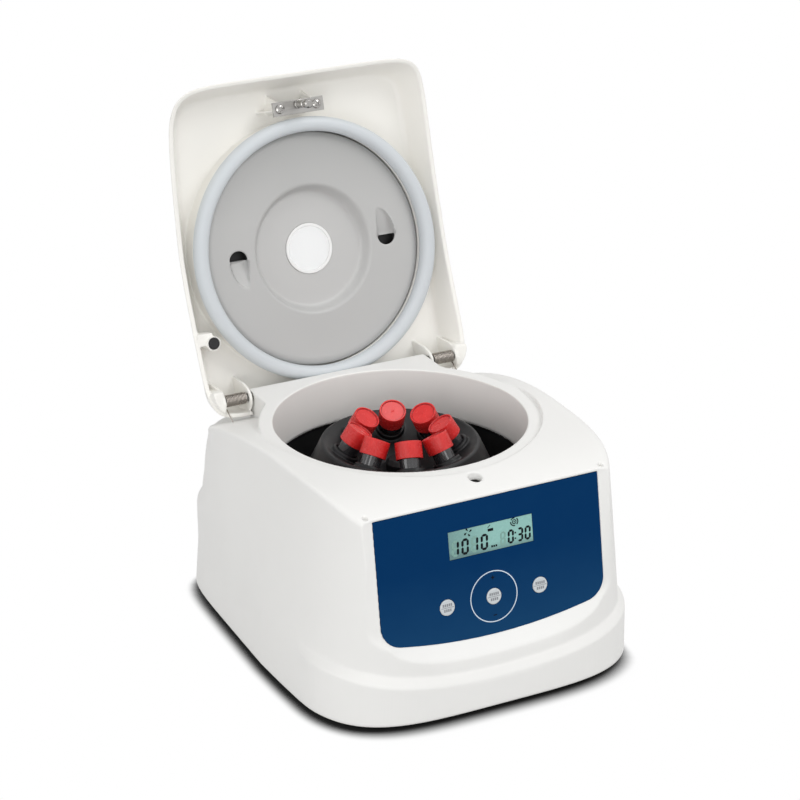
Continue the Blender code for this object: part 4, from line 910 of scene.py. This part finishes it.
def make_rotor(materials):
    axes, (x, y, z) = grid(
        *[lines(-0.1024, (0.0011, 0.1024))] * 2,
        lines(-0.0970, (0.0016, -0.0560), (0.0008, -0.0160)),
    )
    dish_z = -0.021 - 0.041 * math.tan(TUBE_TILT)
    section = [(-0.01, -0.083), (0.018, -0.083), (0.030, -0.095), (0.098, -0.095), (0.100, -0.092)]
    section += [(0.0655, -0.0195), (0.0645, -0.0187), (0.0625, -0.0187), (0.020, dish_z), (-0.01, dish_z)]
    radius = np.hypot(x, y)
    body = polygon_field(radius, z, section)
    sockets = []
    for k in range(TUBES):
        turn = np.array(tube_frame(k).inverted())
        u, v, w = (turn[i, 0] * x + turn[i, 1] * y + turn[i, 2] * z + turn[i, 3] for i in range(3))
        bore = np.hypot(u, v)
        collar = round_max(bore - 0.0118, both(w + 0.0222, -0.0340 - w), 0.0007)
        body = round_min(body, collar, 0.0010)
        sockets.append(both(bore - TUBE_R - RUN, TUBE_TIP - RUN - w))
    for socket in sockets:
        body = round_max(body, -socket, 0.0006)
    body = both(body, SHAFT_BORE - radius)
    rotor = field_piece("rotor", body, axes, RING, materials["rotor_black"], 0.6)
    settle(rotor, "rotor", "rotor_black", "rotor_body")
    nut = [(0, GAP), (0.012, GAP), (0.012, 0.0084), (0.009, 0.012), (0, 0.012)]
    nut = [(r, dish_z + level) for r, level in nut]
    made = turned("hub_nut", nut, 0.0012, materials["rotor_black"], RING, count=36)
    settle(made, "rotor", "rotor_black", "rotor_nut")
    for k in range(TUBES):
        make_tube(k + 1, RING @ tube_frame(k), materials)


def make_tube(number, place, materials):
    """One capped tube."""
    bore, edge = TUBE_R + GAP, CAP_R - 0.0015
    cap = [(0, -0.002), (bore, -0.002), (bore, -CAP_H), (CAP_R, -CAP_H), (CAP_R, 0.0), (CAP_R - 0.0012, 0.0)]
    cap += [(edge, -0.0010), (0.0009, -0.0010), (0.0006, -0.0005), (0, -0.0005)]
    made = turned(f"screw_cap_{number}", cap, 0.0004, materials["cap_red"], place, count=60, steps=3)
    settle(made, "rotor", "cap_red", f"cap_{number}")
    top, inner = -0.002 - GAP, TUBE_R - 0.001
    tube = [(0, TUBE_TIP), (0.003, TUBE_TIP), (TUBE_R, TUBE_TIP + 0.010), (TUBE_R, top), (inner, top)]
    tube += [(inner, TUBE_TIP + 0.0105), (0.002, TUBE_TIP + 0.001), (0, TUBE_TIP + 0.001)]
    made = turned(f"sample_tube_{number}", tube, 0.0006, materials["tube_clear"], place, count=48, steps=3)
    settle(made, "rotor", "tube_clear", f"tube_{number}")


def make_bowl(materials):
    inner, outer, floor, low, top, hub = 0.1073, 0.1088, -0.110, -0.1115, -0.032, 0.018
    curve, chamfer = 0.012, 0.0036
    profile = [(hub, low), (outer - curve, low), (outer - chamfer, low + chamfer), (outer, low + curve)]
    profile += [(outer, top), (inner, top), (inner, low + curve), (inner - chamfer, floor + chamfer)]
    profile += [(inner - curve, floor), (hub, floor)]
    bowl = turned("bowl", profile, 0.0006, materials["bowl_black"], RING, closed=True, count=128)
    settle(bowl, "base", "bowl_black", "chamber_bowl")


# Lid fittings

LINER_R, LINER_BORE = 0.0987, 0.0211
DISH_R, DISH_EASE = 0.0560, 0.42
NOTCH_X, NOTCH_Y, NOTCH_SPAN = 0.0695, -0.0006, 0.36


def make_gasket(materials):
    section = []
    for k in range(36):
        turn = math.tau * k / 36
        c, s = (math.copysign(abs(v) ** 0.9, v) for v in (math.cos(turn), math.sin(turn)))
        section.append((0.1053 + 0.0063 * c, 0.0076 + 0.0070 * s))
    material = materials["gasket_grey"]
    gasket = turned("gasket", section, 0.0001, material, LID_MOUTH, closed=True, count=180, steps=1)
    settle(gasket, "lid", "gasket_grey", "lid_gasket")


def eased(share, ease):
    """A straight rise from 0 to 1 - ease whose ends are curved over the share ease."""
    late = 1 - ease - (1 - share) ** 2 / (2 * ease)
    return np.where(share < ease, share**2 / (2 * ease), np.where(share > 1 - ease, late, share - ease / 2))


def make_liner(materials):
    axes, (x, y, z) = grid(
        *[lines(-0.1010, (0.0010, 0.1010))] * 2,
        lines(0.0108, (0.0005, 0.0260)),
    )
    radius = np.hypot(x, y)
    share = np.clip((DISH_R - radius) / 0.0085, 0, 1)
    trench = np.clip((radius - 0.0925) / 0.006, 0, 1) ** 2
    height = 0.0126 + 0.0095 * eased(share, DISH_EASE) / (1 - DISH_EASE) + 0.0020 * trench
    dent, hole = 0.0, 1.0
    for side in (-1, 1):
        u, v = side * x, -side * y + NOTCH_Y * side
        turn = np.arctan2(v, np.maximum(u, 0.001))
        away = np.hypot(u, v)
        s = np.clip(turn / NOTCH_SPAN, 0, 1)
        inner = 0.0612 + 0.0058 * s**2
        outer = 0.0778 - 0.0108 * (1 - np.sqrt(1 - s * s))
        within = either(away - inner, outer - away, either(turn, NOTCH_SPAN - turn) * 0.069 + 0.0004)
        within = np.where(u > 0.02, within, -1.0)
        dent = dent + 0.0060 * (1 - 0.95 * s) * np.clip(within / 0.0008, 0, 1)
        moon = both(np.hypot(u - NOTCH_X, v) - 0.0083, v)
        hole = either(hole, moon)
    height = height + dent
    slopes = np.gradient(height[:, :, 0], axes[0], axes[1])
    steep = np.sqrt(1 + slopes[0] ** 2 + slopes[1] ** 2)[:, :, None]
    plate = np.abs(z - height - 0.001) / steep - 0.001
    for limit in (radius - LINER_R, LINER_BORE - radius, -hole):
        plate = round_max(plate, limit, 0.0004)
    liner = field_piece("liner", plate, axes, LID_MOUTH, materials["liner_grey"], 0.7)
    settle(liner, "lid", "liner_grey", "lid_liner")
    for side, name in SIDES:
        # Painted shade: a black cup behind each half-moon hole makes the hole show dark
        place = LID_MOUTH @ shift(side * NOTCH_X, NOTCH_Y + side * 0.003, 0.0222)
        cup = [(0, 0), (0.0105, 0), (0.0120, -0.0015), (0.0126, -0.0015), (0.0112, 0.0006), (0, 0.0006)]
        back = turned(f"notch_shade_{name}", cup[::-1], 0.0002, materials["bowl_black"], place, count=32)
        settle(back, "lid", "liner_grey")


def make_window(materials):
    low = 0.0221
    disc = [(0, low + 0.0006), (0.0206, low + 0.0006), (0.0206, low + 0.0025), (0, low + 0.0025)]
    window = turned("window", disc, 0.0003, materials["window_clear"], LID_MOUTH, count=72)
    settle(window, "lid", "window_clear", "lid_window")
    ring = [(0.0190, low - 0.0010), (0.0214, low - 0.0010), (0.0214, low - 0.0001), (0.0190, low + 0.0004)]
    rim = turned("window_rim", ring, 0.0004, materials["rim_white"], LID_MOUTH, closed=True, count=96)
    settle(rim, "lid", "window_clear")


def flat_sheet(name, outlines, thickness, bevel, material):
    """A flat piece from closed outlines (holes included), centred on z = 0."""
    curve = bpy.data.curves.new(name, "CURVE")
    curve.dimensions = "2D"
    curve.fill_mode = "BOTH"
    curve.extrude = thickness / 2 - bevel
    curve.bevel_depth = bevel
    curve.bevel_resolution = 2
    curve.offset = -bevel
    for points in outlines:
        spline = curve.splines.new("POLY")
        spline.points.add(len(points) - 1)
        for point, (a, b) in zip(spline.points, points):
            point.co = (a, b, 0, 1)
        spline.use_cyclic_u = True
    made = bpy.data.objects.new(name, curve)
    scene.collection.objects.link(made)
    mesh = evaluated(made)
    bpy.data.objects.remove(made)
    mesh.name = name
    mesh.materials.clear()
    mesh.materials.append(material)
    made = bpy.data.objects.new(name, mesh)
    scene.collection.objects.link(made)
    return made


def circle(radius, count=32, centre=(0, 0)):
    turns = [math.tau * k / count for k in range(count)]
    return [(centre[0] + radius * math.cos(t), centre[1] + radius * math.sin(t)) for t in turns]


def cross_screw(name, material, place):
    """Pan-head screw with a cross recess; its head points along -Z from the place."""
    across = lines(-0.0046, (0.00022, 0.0046))
    axes, (x, y, z) = grid(across, across, lines(-0.0030, (0.0002, 0.0076)))
    radius = np.hypot(x, y)
    dome = np.sqrt(radius**2 + (z - 0.0046) ** 2) - 0.0069
    head = round_max(both(dome, radius - 0.0040), z + GAP, 0.0004)
    head = round_min(head, both(radius - 0.0018, -z - 0.001, z - 0.0069), 0.0002)
    slots = [both(np.abs(a) - 0.00055, np.abs(b) - 0.0022) for a, b in ((x, y), (y, x))]
    head = round_max(head, -both(either(*slots), z + 0.0009), 0.0001)
    return field_piece(name, head, axes, place, material)


def make_striker(materials):
    y = STRIKER_Y - HINGE_Y
    middle = LID @ shift(0, PLATE_Y, PLATE_FACE)
    half, deep = 0.0235, 0.0059
    edge = [(-half, -deep), (half, -deep), (half, deep), (-half, deep)]
    neck, waist, shaft, head = 0.0021, 0.0024, 0.0033, 0.0039
    holes = [circle(SCREW_BORE, 24, (x, 0)) for x in (-POST_X, POST_X)]
    holes.append(circle(waist, 24, (0, -PLATE_OFF)))
    plate = flat_sheet("striker", [edge] + holes, PLATE_T, 0.0002, materials["steel"])
    plate.matrix_world = middle @ shift(0, 0, PLATE_T / 2)
    settle(plate, "lid", "steel", "striker_plate")
    pin = [(0, -0.0235), (head * 0.7, -0.0235), (head, -0.0222), (head, -0.0180), (waist, -0.0176)]
    pin += [(waist, -0.0135), (shaft, -0.0130), (shaft, -0.0030), (head, -0.0028), (head, -GAP)]
    pin += [(neck, -GAP), (neck, PLATE_T), (0, PLATE_T)]
    place = LID @ shift(0, y, PLATE_FACE)
    stud = turned("striker_stud", pin, 0.0005, materials["steel_bright"], place, count=40)
    settle(stud, "lid", "steel", "striker_pin")
    for (side, name), turn in zip(SIDES, (0.35, 0.9)):
        place = middle @ shift(side * POST_X, 0, 0) @ Matrix.Rotation(turn, 4, "Z")
        screw = cross_screw(f"pan_screw_{name}", materials["steel_bright"], place)
        settle(screw, "lid", "steel", f"striker_screw_{name}")


def make_plug(materials):
    profile = [(0, 0), (0.0047, 0), (0.0047, 0.008), (0, 0.008)]
    place = LID @ shift(PLUG_X, PLUG_Y, float(PLUG_FOOT))
    plug = turned("rubber_plug", profile, 0.0008, materials["rubber_black"], place, count=36)
    settle(plug, "lid", "rubber_black", "lid_bumper")


# Hinge springs


def wire(name, route, radius, material, sides=10):
    """A round wire along a route, with closed ends."""
    route = np.array([tuple(p) for p in route])
    ahead = np.gradient(route, axis=0)
    ahead /= np.linalg.norm(ahead, axis=1)[:, None]
    normal = np.cross(ahead[0], (0.3, 0.5, 0.8))
    spots, ways, faces = [], [], []
    for k, (point, way) in enumerate(zip(route, ahead)):
        normal = normal - way * (normal @ way)
        normal /= np.linalg.norm(normal)
        other = np.cross(way, normal)
        for s in range(sides):
            turn = math.tau * s / sides
            out = normal * math.cos(turn) + other * math.sin(turn)
            spots.append(point + out * radius)
            ways.append(out)
        if k:
            low, high = (k - 1) * sides, k * sides
            for s in range(sides):
                n = (s + 1) % sides
                faces.append((low + s, low + n, high + n, high + s))
    faces.append(tuple(reversed(range(sides))))
    faces.append(tuple(range(len(spots) - sides, len(spots))))
    return mesh_object(name, spots, faces, material, ways)


def make_springs(materials):
    radius, gauge, turns, points = 0.0046, 0.00054, 14, 28
    start, end, foot_y = 0.0893, 0.1072, -0.0155
    hinge = Vector((0, AXIS_Y + HINGE_Y, LAND_Z - HINGE_DROP))
    steps = turns * points
    for side, name in SIDES:
        route = []
        for k in range(steps + 1):
            turn = math.radians(90) + math.tau * k / points + math.pi * k / steps
            x = side * (start + (end - start) * k / steps)
            route.append(hinge + Vector((x, radius * math.cos(turn), radius * math.sin(turn))))
        foot_z = float(crown(np.float32(HINGE_Y + foot_y))) + HINGE_DROP + gauge + 0.0005
        foot = hinge + Vector((side * end, foot_y, foot_z))
        leg = [route[-1].lerp(foot, s) for s in (0.15, 0.4, 0.7, 1.0)]
        spring = wire(f"spring_{name}", route + leg, gauge, materials["spring_steel"])
        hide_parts(f"hinge_spring_{name}")
        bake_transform(spring)


# Front panel and controls


def panel_matrix():
    """Places on the panel: x across, y up from the top edge (negative is down), z out of its face."""
    start = Vector((0, AXIS_Y - BEZEL_Y + PANEL_SET_BACK, LAND_Z + DECK_FRONT_Z - PANEL_DROP))
    return Matrix.Translation(start) @ Matrix.Rotation(math.pi / 2 - PANEL_TILT, 4, "X")


PANEL = panel_matrix()
INK_T, INK_LIFT = 0.00006, 0.00008
KEY_R = 0.0065
KEY_DOWN = 0.0789
KEY_PITCH = 0.0416
SCREEN_X, SCREEN_W, SCREEN_H, SCREEN_TOP = 0.0012, 0.0752, 0.023, 0.019
SCREEN_T = 0.0047
SLANT = 0.06
SPEED_FIGURE = (-0.0093, 0.0066, 0.0130, 0.0020, SLANT)  # foot, width, height, bar and slant
DIAL = (0.0226, 0.0079)


def panel_line():
    """The panel's outline: a flat top and a bowed lower edge with rounded corners."""
    flat = PANEL_HALF - PANEL_CORNER
    bow = flat**2 / (2 * PANEL_SAG)
    points = [(PANEL_HALF, -PANEL_OVER)]
    corner_down = PANEL_H - PANEL_SAG - PANEL_CORNER
    tilt = math.atan(flat / bow)
    for k in range(13):
        turn = (math.pi / 2 - tilt) * k / 12
        across, down = (PANEL_CORNER * part(turn) for part in (math.cos, math.sin))
        points.append((flat + across, corner_down + down))
    last_x, last_down = points[-1]
    base = last_down + last_x**2 / (2 * bow)
    for k in range(1, 16):
        x = last_x * (1 - k / 16)
        points.append((x, base - x * x / (2 * bow)))
    points.append((0.0, base))
    right = [(x, -down) for x, down in points]
    return right + [(-x, y) for x, y in reversed(right[:-1])]


SEGMENTS = {"0": "abcdef", "1": "bc", "3": "abcdg", "8": "abcdefg"}


def digit(text, left, low, width, height, bar, slant):
    """Bars of a seven-bar figure."""
    gap = bar * 0.06
    mid = height / 2
    rows = {"a": height - bar / 2, "g": mid, "d": bar / 2}
    made = []
    for key in SEGMENTS[text]:
        if key in rows:
            y, h = rows[key], bar / 2
            a, b = gap + bar / 2, width - gap - bar / 2
            shape = [(a, y), (a + h, y - h), (b - h, y - h), (b, y), (b - h, y + h), (a + h, y + h)]
        else:
            x, h = (width - bar / 2 if key in "bc" else bar / 2), bar / 2
            a, b = (mid + gap, height - gap - bar / 2) if key in "bf" else (gap + bar / 2, mid - gap)
            shape = [(x, a), (x + h, a + h), (x + h, b - h), (x, b), (x - h, b - h), (x - h, a + h)]
        made.append([(left + px + slant * py, low + py) for px, py in shape])
    return made


def box(left, low, width, height):
    return [(left, low), (left + width, low), (left + width, low + height), (left, low + height)]


def print_on(name, shapes, ink, place, lift):
    """Thin ink on a face, lifted just clear of it."""
    made = flat_sheet(name, shapes, INK_T, 0.000005, ink)
    made.matrix_world = place @ shift(0, 0, lift)
    return made


def make_panel(materials):
    mid = SCREEN_TOP + SCREEN_H / 2
    half_w, half_h = SCREEN_W / 2, SCREEN_H / 2
    corners = ((-1, -1), (1, -1), (1, 1), (-1, 1))
    window = [(SCREEN_X + a * half_w, -mid + b * half_h) for a, b in corners]
    holes = [circle(KEY_R + GAP, 48, (c * KEY_PITCH, -KEY_DOWN)) for c in (-1, 0, 1)]
    shapes = [panel_line(), window] + holes
    sheet = flat_sheet("panel_sheet", shapes, PANEL_T, 0.00015, materials["panel_blue"])
    sheet.matrix_world = PANEL @ shift(0, 0, -PANEL_T / 2)
    settle(sheet, "base", "panel_blue", "front_panel")
    near_w, near_h = 1 - GAP / half_w, 1 - GAP / half_h
    inner = [(SCREEN_X + (a - SCREEN_X) * near_w, -mid + (b + mid) * near_h) for a, b in window]
    face = flat_sheet("display", [inner], SCREEN_T, 0.0001, materials["screen_green"])
    face.data.transform(PANEL @ shift(0, 0, -GAP - SCREEN_T / 2))
    settle(face, "base", "screen_green", "lcd_module")
    on_face = PANEL @ shift(0, -mid, 0)
    inks = (("display_figures", display_marks(), "ink_dark"), ("display_unlit", display_unlit(), "ink_ghost"))
    for name, shapes, ink in inks:
        settle(print_on(name, shapes, materials[ink], on_face, INK_T - GAP), "base", "screen_green")
    ring = [circle(r, 96, (0, -KEY_DOWN)) for r in (0.0211, 0.0203)]
    settle(print_on("printed_ring", ring, materials["ink_white"], PANEL, INK_LIFT), "base", "key_grey")
    arm, thin, off = 0.0016, 0.0004, 0.0155
    plus = [(-arm, -thin), (-thin, -thin), (-thin, -arm), (thin, -arm), (thin, -thin), (arm, -thin)]
    plus += [(-a, -b) for a, b in plus]
    minus = box(-arm, -thin, 2 * arm, 2 * thin)
    shapes = [[(a, b - KEY_DOWN + up) for a, b in sign] for sign, up in ((plus, off), (minus, -off))]
    settle(print_on("printed_signs", shapes, materials["ink_dark"], PANEL, INK_LIFT), "base", "panel_blue")
    for column, name in ((-1, "left"), (0, "centre"), (1, "right")):
        make_key(column * KEY_PITCH, name, materials)


def display_marks():
    """Dark figures and plain signs on the display, from its centre."""
    shapes = []
    for text, left in zip("1010", (-0.0344, -0.0257, -0.0173, -0.0086)):
        shapes += digit(text, left, *SPEED_FIGURE)
    for text, left in zip("030", (0.0156, 0.0240, 0.0308)):
        shapes += digit(text, left, -0.0091, 0.0056, 0.0114, 0.0018, SLANT)
    shapes += [box(0.0224 + SLANT * level, level, 0.0013, 0.0013) for level in (-0.0064, -0.0018)]
    for k in range(4):
        turn = math.tau * k / 4 + 0.25
        c, s = math.cos(turn), math.sin(turn)
        blade = [(0.0009, -0.0003), (0.0032, -0.0005), (0.0037, 0.0008), (0.0026, 0.0012)]
        shapes.append([(-0.0188 + a * c - b * s, 0.0080 + a * s + b * c) for a, b in blade])
    shapes.append(box(-0.0013, 0.0048, 0.0049, 0.0022))
    shapes.append([(-0.0011, 0.0076), (0.0012, 0.0098), (0.0008, 0.0101), (-0.0014, 0.0080)])
    x, y = DIAL
    for start, span in ((-0.9, 1.7), (1.4, 1.2), (3.0, 1.9)):
        turns = [start + span * s / 10 for s in range(11)]
        outer = [(x + 0.0037 * math.cos(t), y + 0.0036 * math.sin(t)) for t in turns]
        inner = [(x + 0.0028 * math.cos(t), y + 0.0027 * math.sin(t)) for t in reversed(turns)]
        shapes.append(outer + inner)
    shapes += [circle(r, count, DIAL) for r, count in ((0.0020, 20), (0.0013, 20), (0.0006, 12))]
    return shapes + [box(0.0009 + 0.0019 * k, -0.0086, 0.0014, 0.0016) for k in range(3)]


def display_unlit():
    """Faint bars of figures that are not lit."""
    shapes = []
    for left in (-0.0344, -0.0173):
        bars = zip(SEGMENTS["8"], digit("8", left, *SPEED_FIGURE))
        shapes += [shape for key, shape in bars if key not in SEGMENTS["1"]]
    return shapes + digit("8", 0.0088, -0.0091, 0.0050, 0.0112, 0.0015, SLANT)


def make_key(x, name, materials):
    place = PANEL @ shift(x, -KEY_DOWN, 0)
    top = 0.0006
    profile = [(0, -0.003), (KEY_R, -0.003), (KEY_R, 0.0002), (KEY_R - top, top), (0, top)]
    key = turned(f"key_cap_{name}", profile, 0.0004, materials["key_grey"], place, count=48)
    settle(key, f"key_{name}", "key_grey", f"button_{name}")
    shapes = [box(-0.0056, -0.0002, 0.0112, 0.0004)]
    for level, count in ((0.0021, 5), (-0.0022, 4)):
        for k in range(count):
            shapes.append(box((k - count / 2) * 0.00175 + 0.0002, level - 0.0011, 0.0012, 0.0022))
    line = print_on(f"key_line_{name}", shapes, materials["ink_grey"], place, top + INK_LIFT)
    settle(line, f"key_{name}", "key_grey")


# Studio

FLOOR_SIDES = 144
FLOOR_RINGS = (-0.06, -0.016, *(0.002 * k - 0.014 for k in range(14)))  # out from the housing's outline
FLOOR_RINGS += (0.02, 0.03, 0.05, 0.1, 0.2, 0.5, 1.5, 6.0)
# Direction, power of its weight, and where the floor's shadow, real and painted, starts to fade and ends
SHADOW = (
    ((0, -1), 2, -0.0059, 0.0135),
    ((0, 1), 2, -0.0040, 0.0040),
    ((-1, 0), 2, -0.0015, 0.0099),
    ((1, 0), 12, -0.0040, 0.0020),
)
WORLD_LIGHT = 0.58
LAMP_AIM = Vector((0, 0, 0.2))
# Name, place, size and power
LAMPS = (
    ("top", (0.32, 0.0, 2.35), 0.7, 5.0),
    ("right", (1.1, -1.0, 1.9), 1.0, 13.2),
    ("front", (0.15, -1.9, 1.15), 0.6, 2.0),
    ("left", (-1.15, -1.5, 1.15), 0.6, 2.0),
    ("low", (-1.3, -1.9, 0.5), 1.0, 8.6),
    ("side", (-2.0, -0.3, 0.8), 1.2, 5.8),
)


def footprint():
    """The housing's outline on the floor: points, and outward directions."""
    reach = np.linspace(0.08, 0.24, 1600, dtype=np.float32)
    points = []
    for k in range(FLOOR_SIDES):
        turn = math.tau * k / FLOOR_SIDES
        x, y = reach * math.sin(turn), reach * math.cos(turn) - 0.020
        inside = body_plan(x, y, np.full_like(reach, 0.004)) < 0
        last = int(np.argmin(inside))
        points.append(Vector((float(x[last]), float(y[last]) + AXIS_Y)))
    ways = []
    for k in range(FLOOR_SIDES):
        along = points[(k + 2) % FLOOR_SIDES] - points[k - 2]
        ways.append(Vector((-along.y, along.x)).normalized())
    return points, ways


def shadow_end(way, grow):
    """From 0 in the housing's shadow to 1 on open floor, for a distance out from its outline."""
    weights = [max(0.0, way.dot(Vector(facing))) ** power for facing, power, _, _ in SHADOW]
    start, end = (sum(w * row[k] for w, row in zip(weights, SHADOW)) / sum(weights) for k in (2, 3))
    part = min(1.0, max(0.0, (grow - start) / (end - start)))
    return part * part * (3 - 2 * part)


def make_stage():
    points, ways = footprint()
    spots, veil, faces = [], [], []
    for grow in FLOOR_RINGS:
        for point, way in zip(points, ways):
            spots.append((*(point + way * grow), 0.0))
            veil.append(shadow_end(way, grow))
    for row in range(len(FLOOR_RINGS) - 1):
        for k in range(FLOOR_SIDES):
            a, b = (row * FLOOR_SIDES + n % FLOOR_SIDES for n in (k, k + 1))
            faces.append((a, a + FLOOR_SIDES, b + FLOOR_SIDES, b))
    faces.append(tuple(reversed(range(FLOOR_SIDES))))
    g = Graph("floor")
    floor = mesh_object("floor", spots, faces, g.material)
    layer = floor.data.attributes.new("veil", "FLOAT", "POINT")
    layer.data.foreach_set("value", np.array(veil, np.float32))
    near = g.add("ShaderNodeAttribute")
    near.attribute_name = "veil"
    plain = g.add("ShaderNodeBsdfDiffuse", Color=(0.60, 0.60, 0.60, 1))
    # Painted shadow: besides the lamps' real shadow, the floor's colour darkens to near black where ambient
    # occlusion finds the housing close
    shade = g.add("ShaderNodeAmbientOcclusion", Distance=0.030)
    shade.samples = 24
    depth = g.spread(shade.outputs["AO"], 0.0, 1.0, 0.66, 1.05)
    seen = g.add("ShaderNodeBsdfDiffuse", Color=g.blend(depth, (0.045, 0.045, 0.045), (1.0, 1.0, 1.0)))
    white = g.add("ShaderNodeEmission", Strength=1.0)
    look = g.mix_shaders(near.outputs["Fac"], seen, white)
    final = g.mix_shaders(seen_ray(g), plain, look)
    g.put(g.tree.nodes["Material Output"].inputs["Surface"], final.outputs[0])
    g.tree.nodes.remove(g.shader)


def seen_ray(g):
    """1 for rays that show the background: seen straight, in a reflection or through something clear."""
    path = g.add("ShaderNodeLightPath")
    first = g.maths("MAXIMUM", path.outputs["Is Camera Ray"], path.outputs["Is Glossy Ray"])
    return g.maths("MAXIMUM", first, path.outputs["Is Transmission Ray"])


class WorldGraph(Graph):
    def __init__(self, world):
        world.use_nodes = True
        self.tree = world.node_tree


def make_lights():
    world = bpy.data.worlds.new("studio")
    scene.world = world
    g = WorldGraph(world)
    shade = g.tree.nodes["Background"]
    strength = g.add("ShaderNodeMapRange", Value=seen_ray(g), To_Min=WORLD_LIGHT, To_Max=1.0)
    g.put(shade.inputs["Color"], (1.0, 1.0, 1.0, 1.0))
    g.put(shade.inputs["Strength"], strength.outputs[0])
    for name, place, size, power in LAMPS:
        data = bpy.data.lights.new(name, "AREA")
        data.shape = "DISK"
        data.size = size
        data.energy = power
        made = bpy.data.objects.new(name, data)
        made.location = place
        made.rotation_euler = (LAMP_AIM - Vector(place)).to_track_quat("-Z", "Y").to_euler()
        scene.collection.objects.link(made)


def dress_frame(materials):
    """Materials for the frame's own nodes that stay in view."""
    slots = {part["node"]: part["material_slot"] for part in frame["record"]["subparts"]}
    for node, made in frame["nodes"].items():
        if not made.hide_render:
            made.data.materials.clear()
            made.data.materials.append(materials[slots[node]])


scene.view_settings.view_transform = "Standard"
make_camera()
materials = make_materials()
settle(make_housing(materials["housing_white"]), "base", "housing_white", "main_housing")
settle(make_lid_shell(materials["lid_ivory"]), "lid", "lid_ivory", "lid_shell")
make_bowl(materials)
make_rotor(materials)
make_gasket(materials)
make_liner(materials)
make_window(materials)
make_striker(materials)
make_plug(materials)
make_springs(materials)
make_panel(materials)
dress_frame(materials)
make_stage()
make_lights()
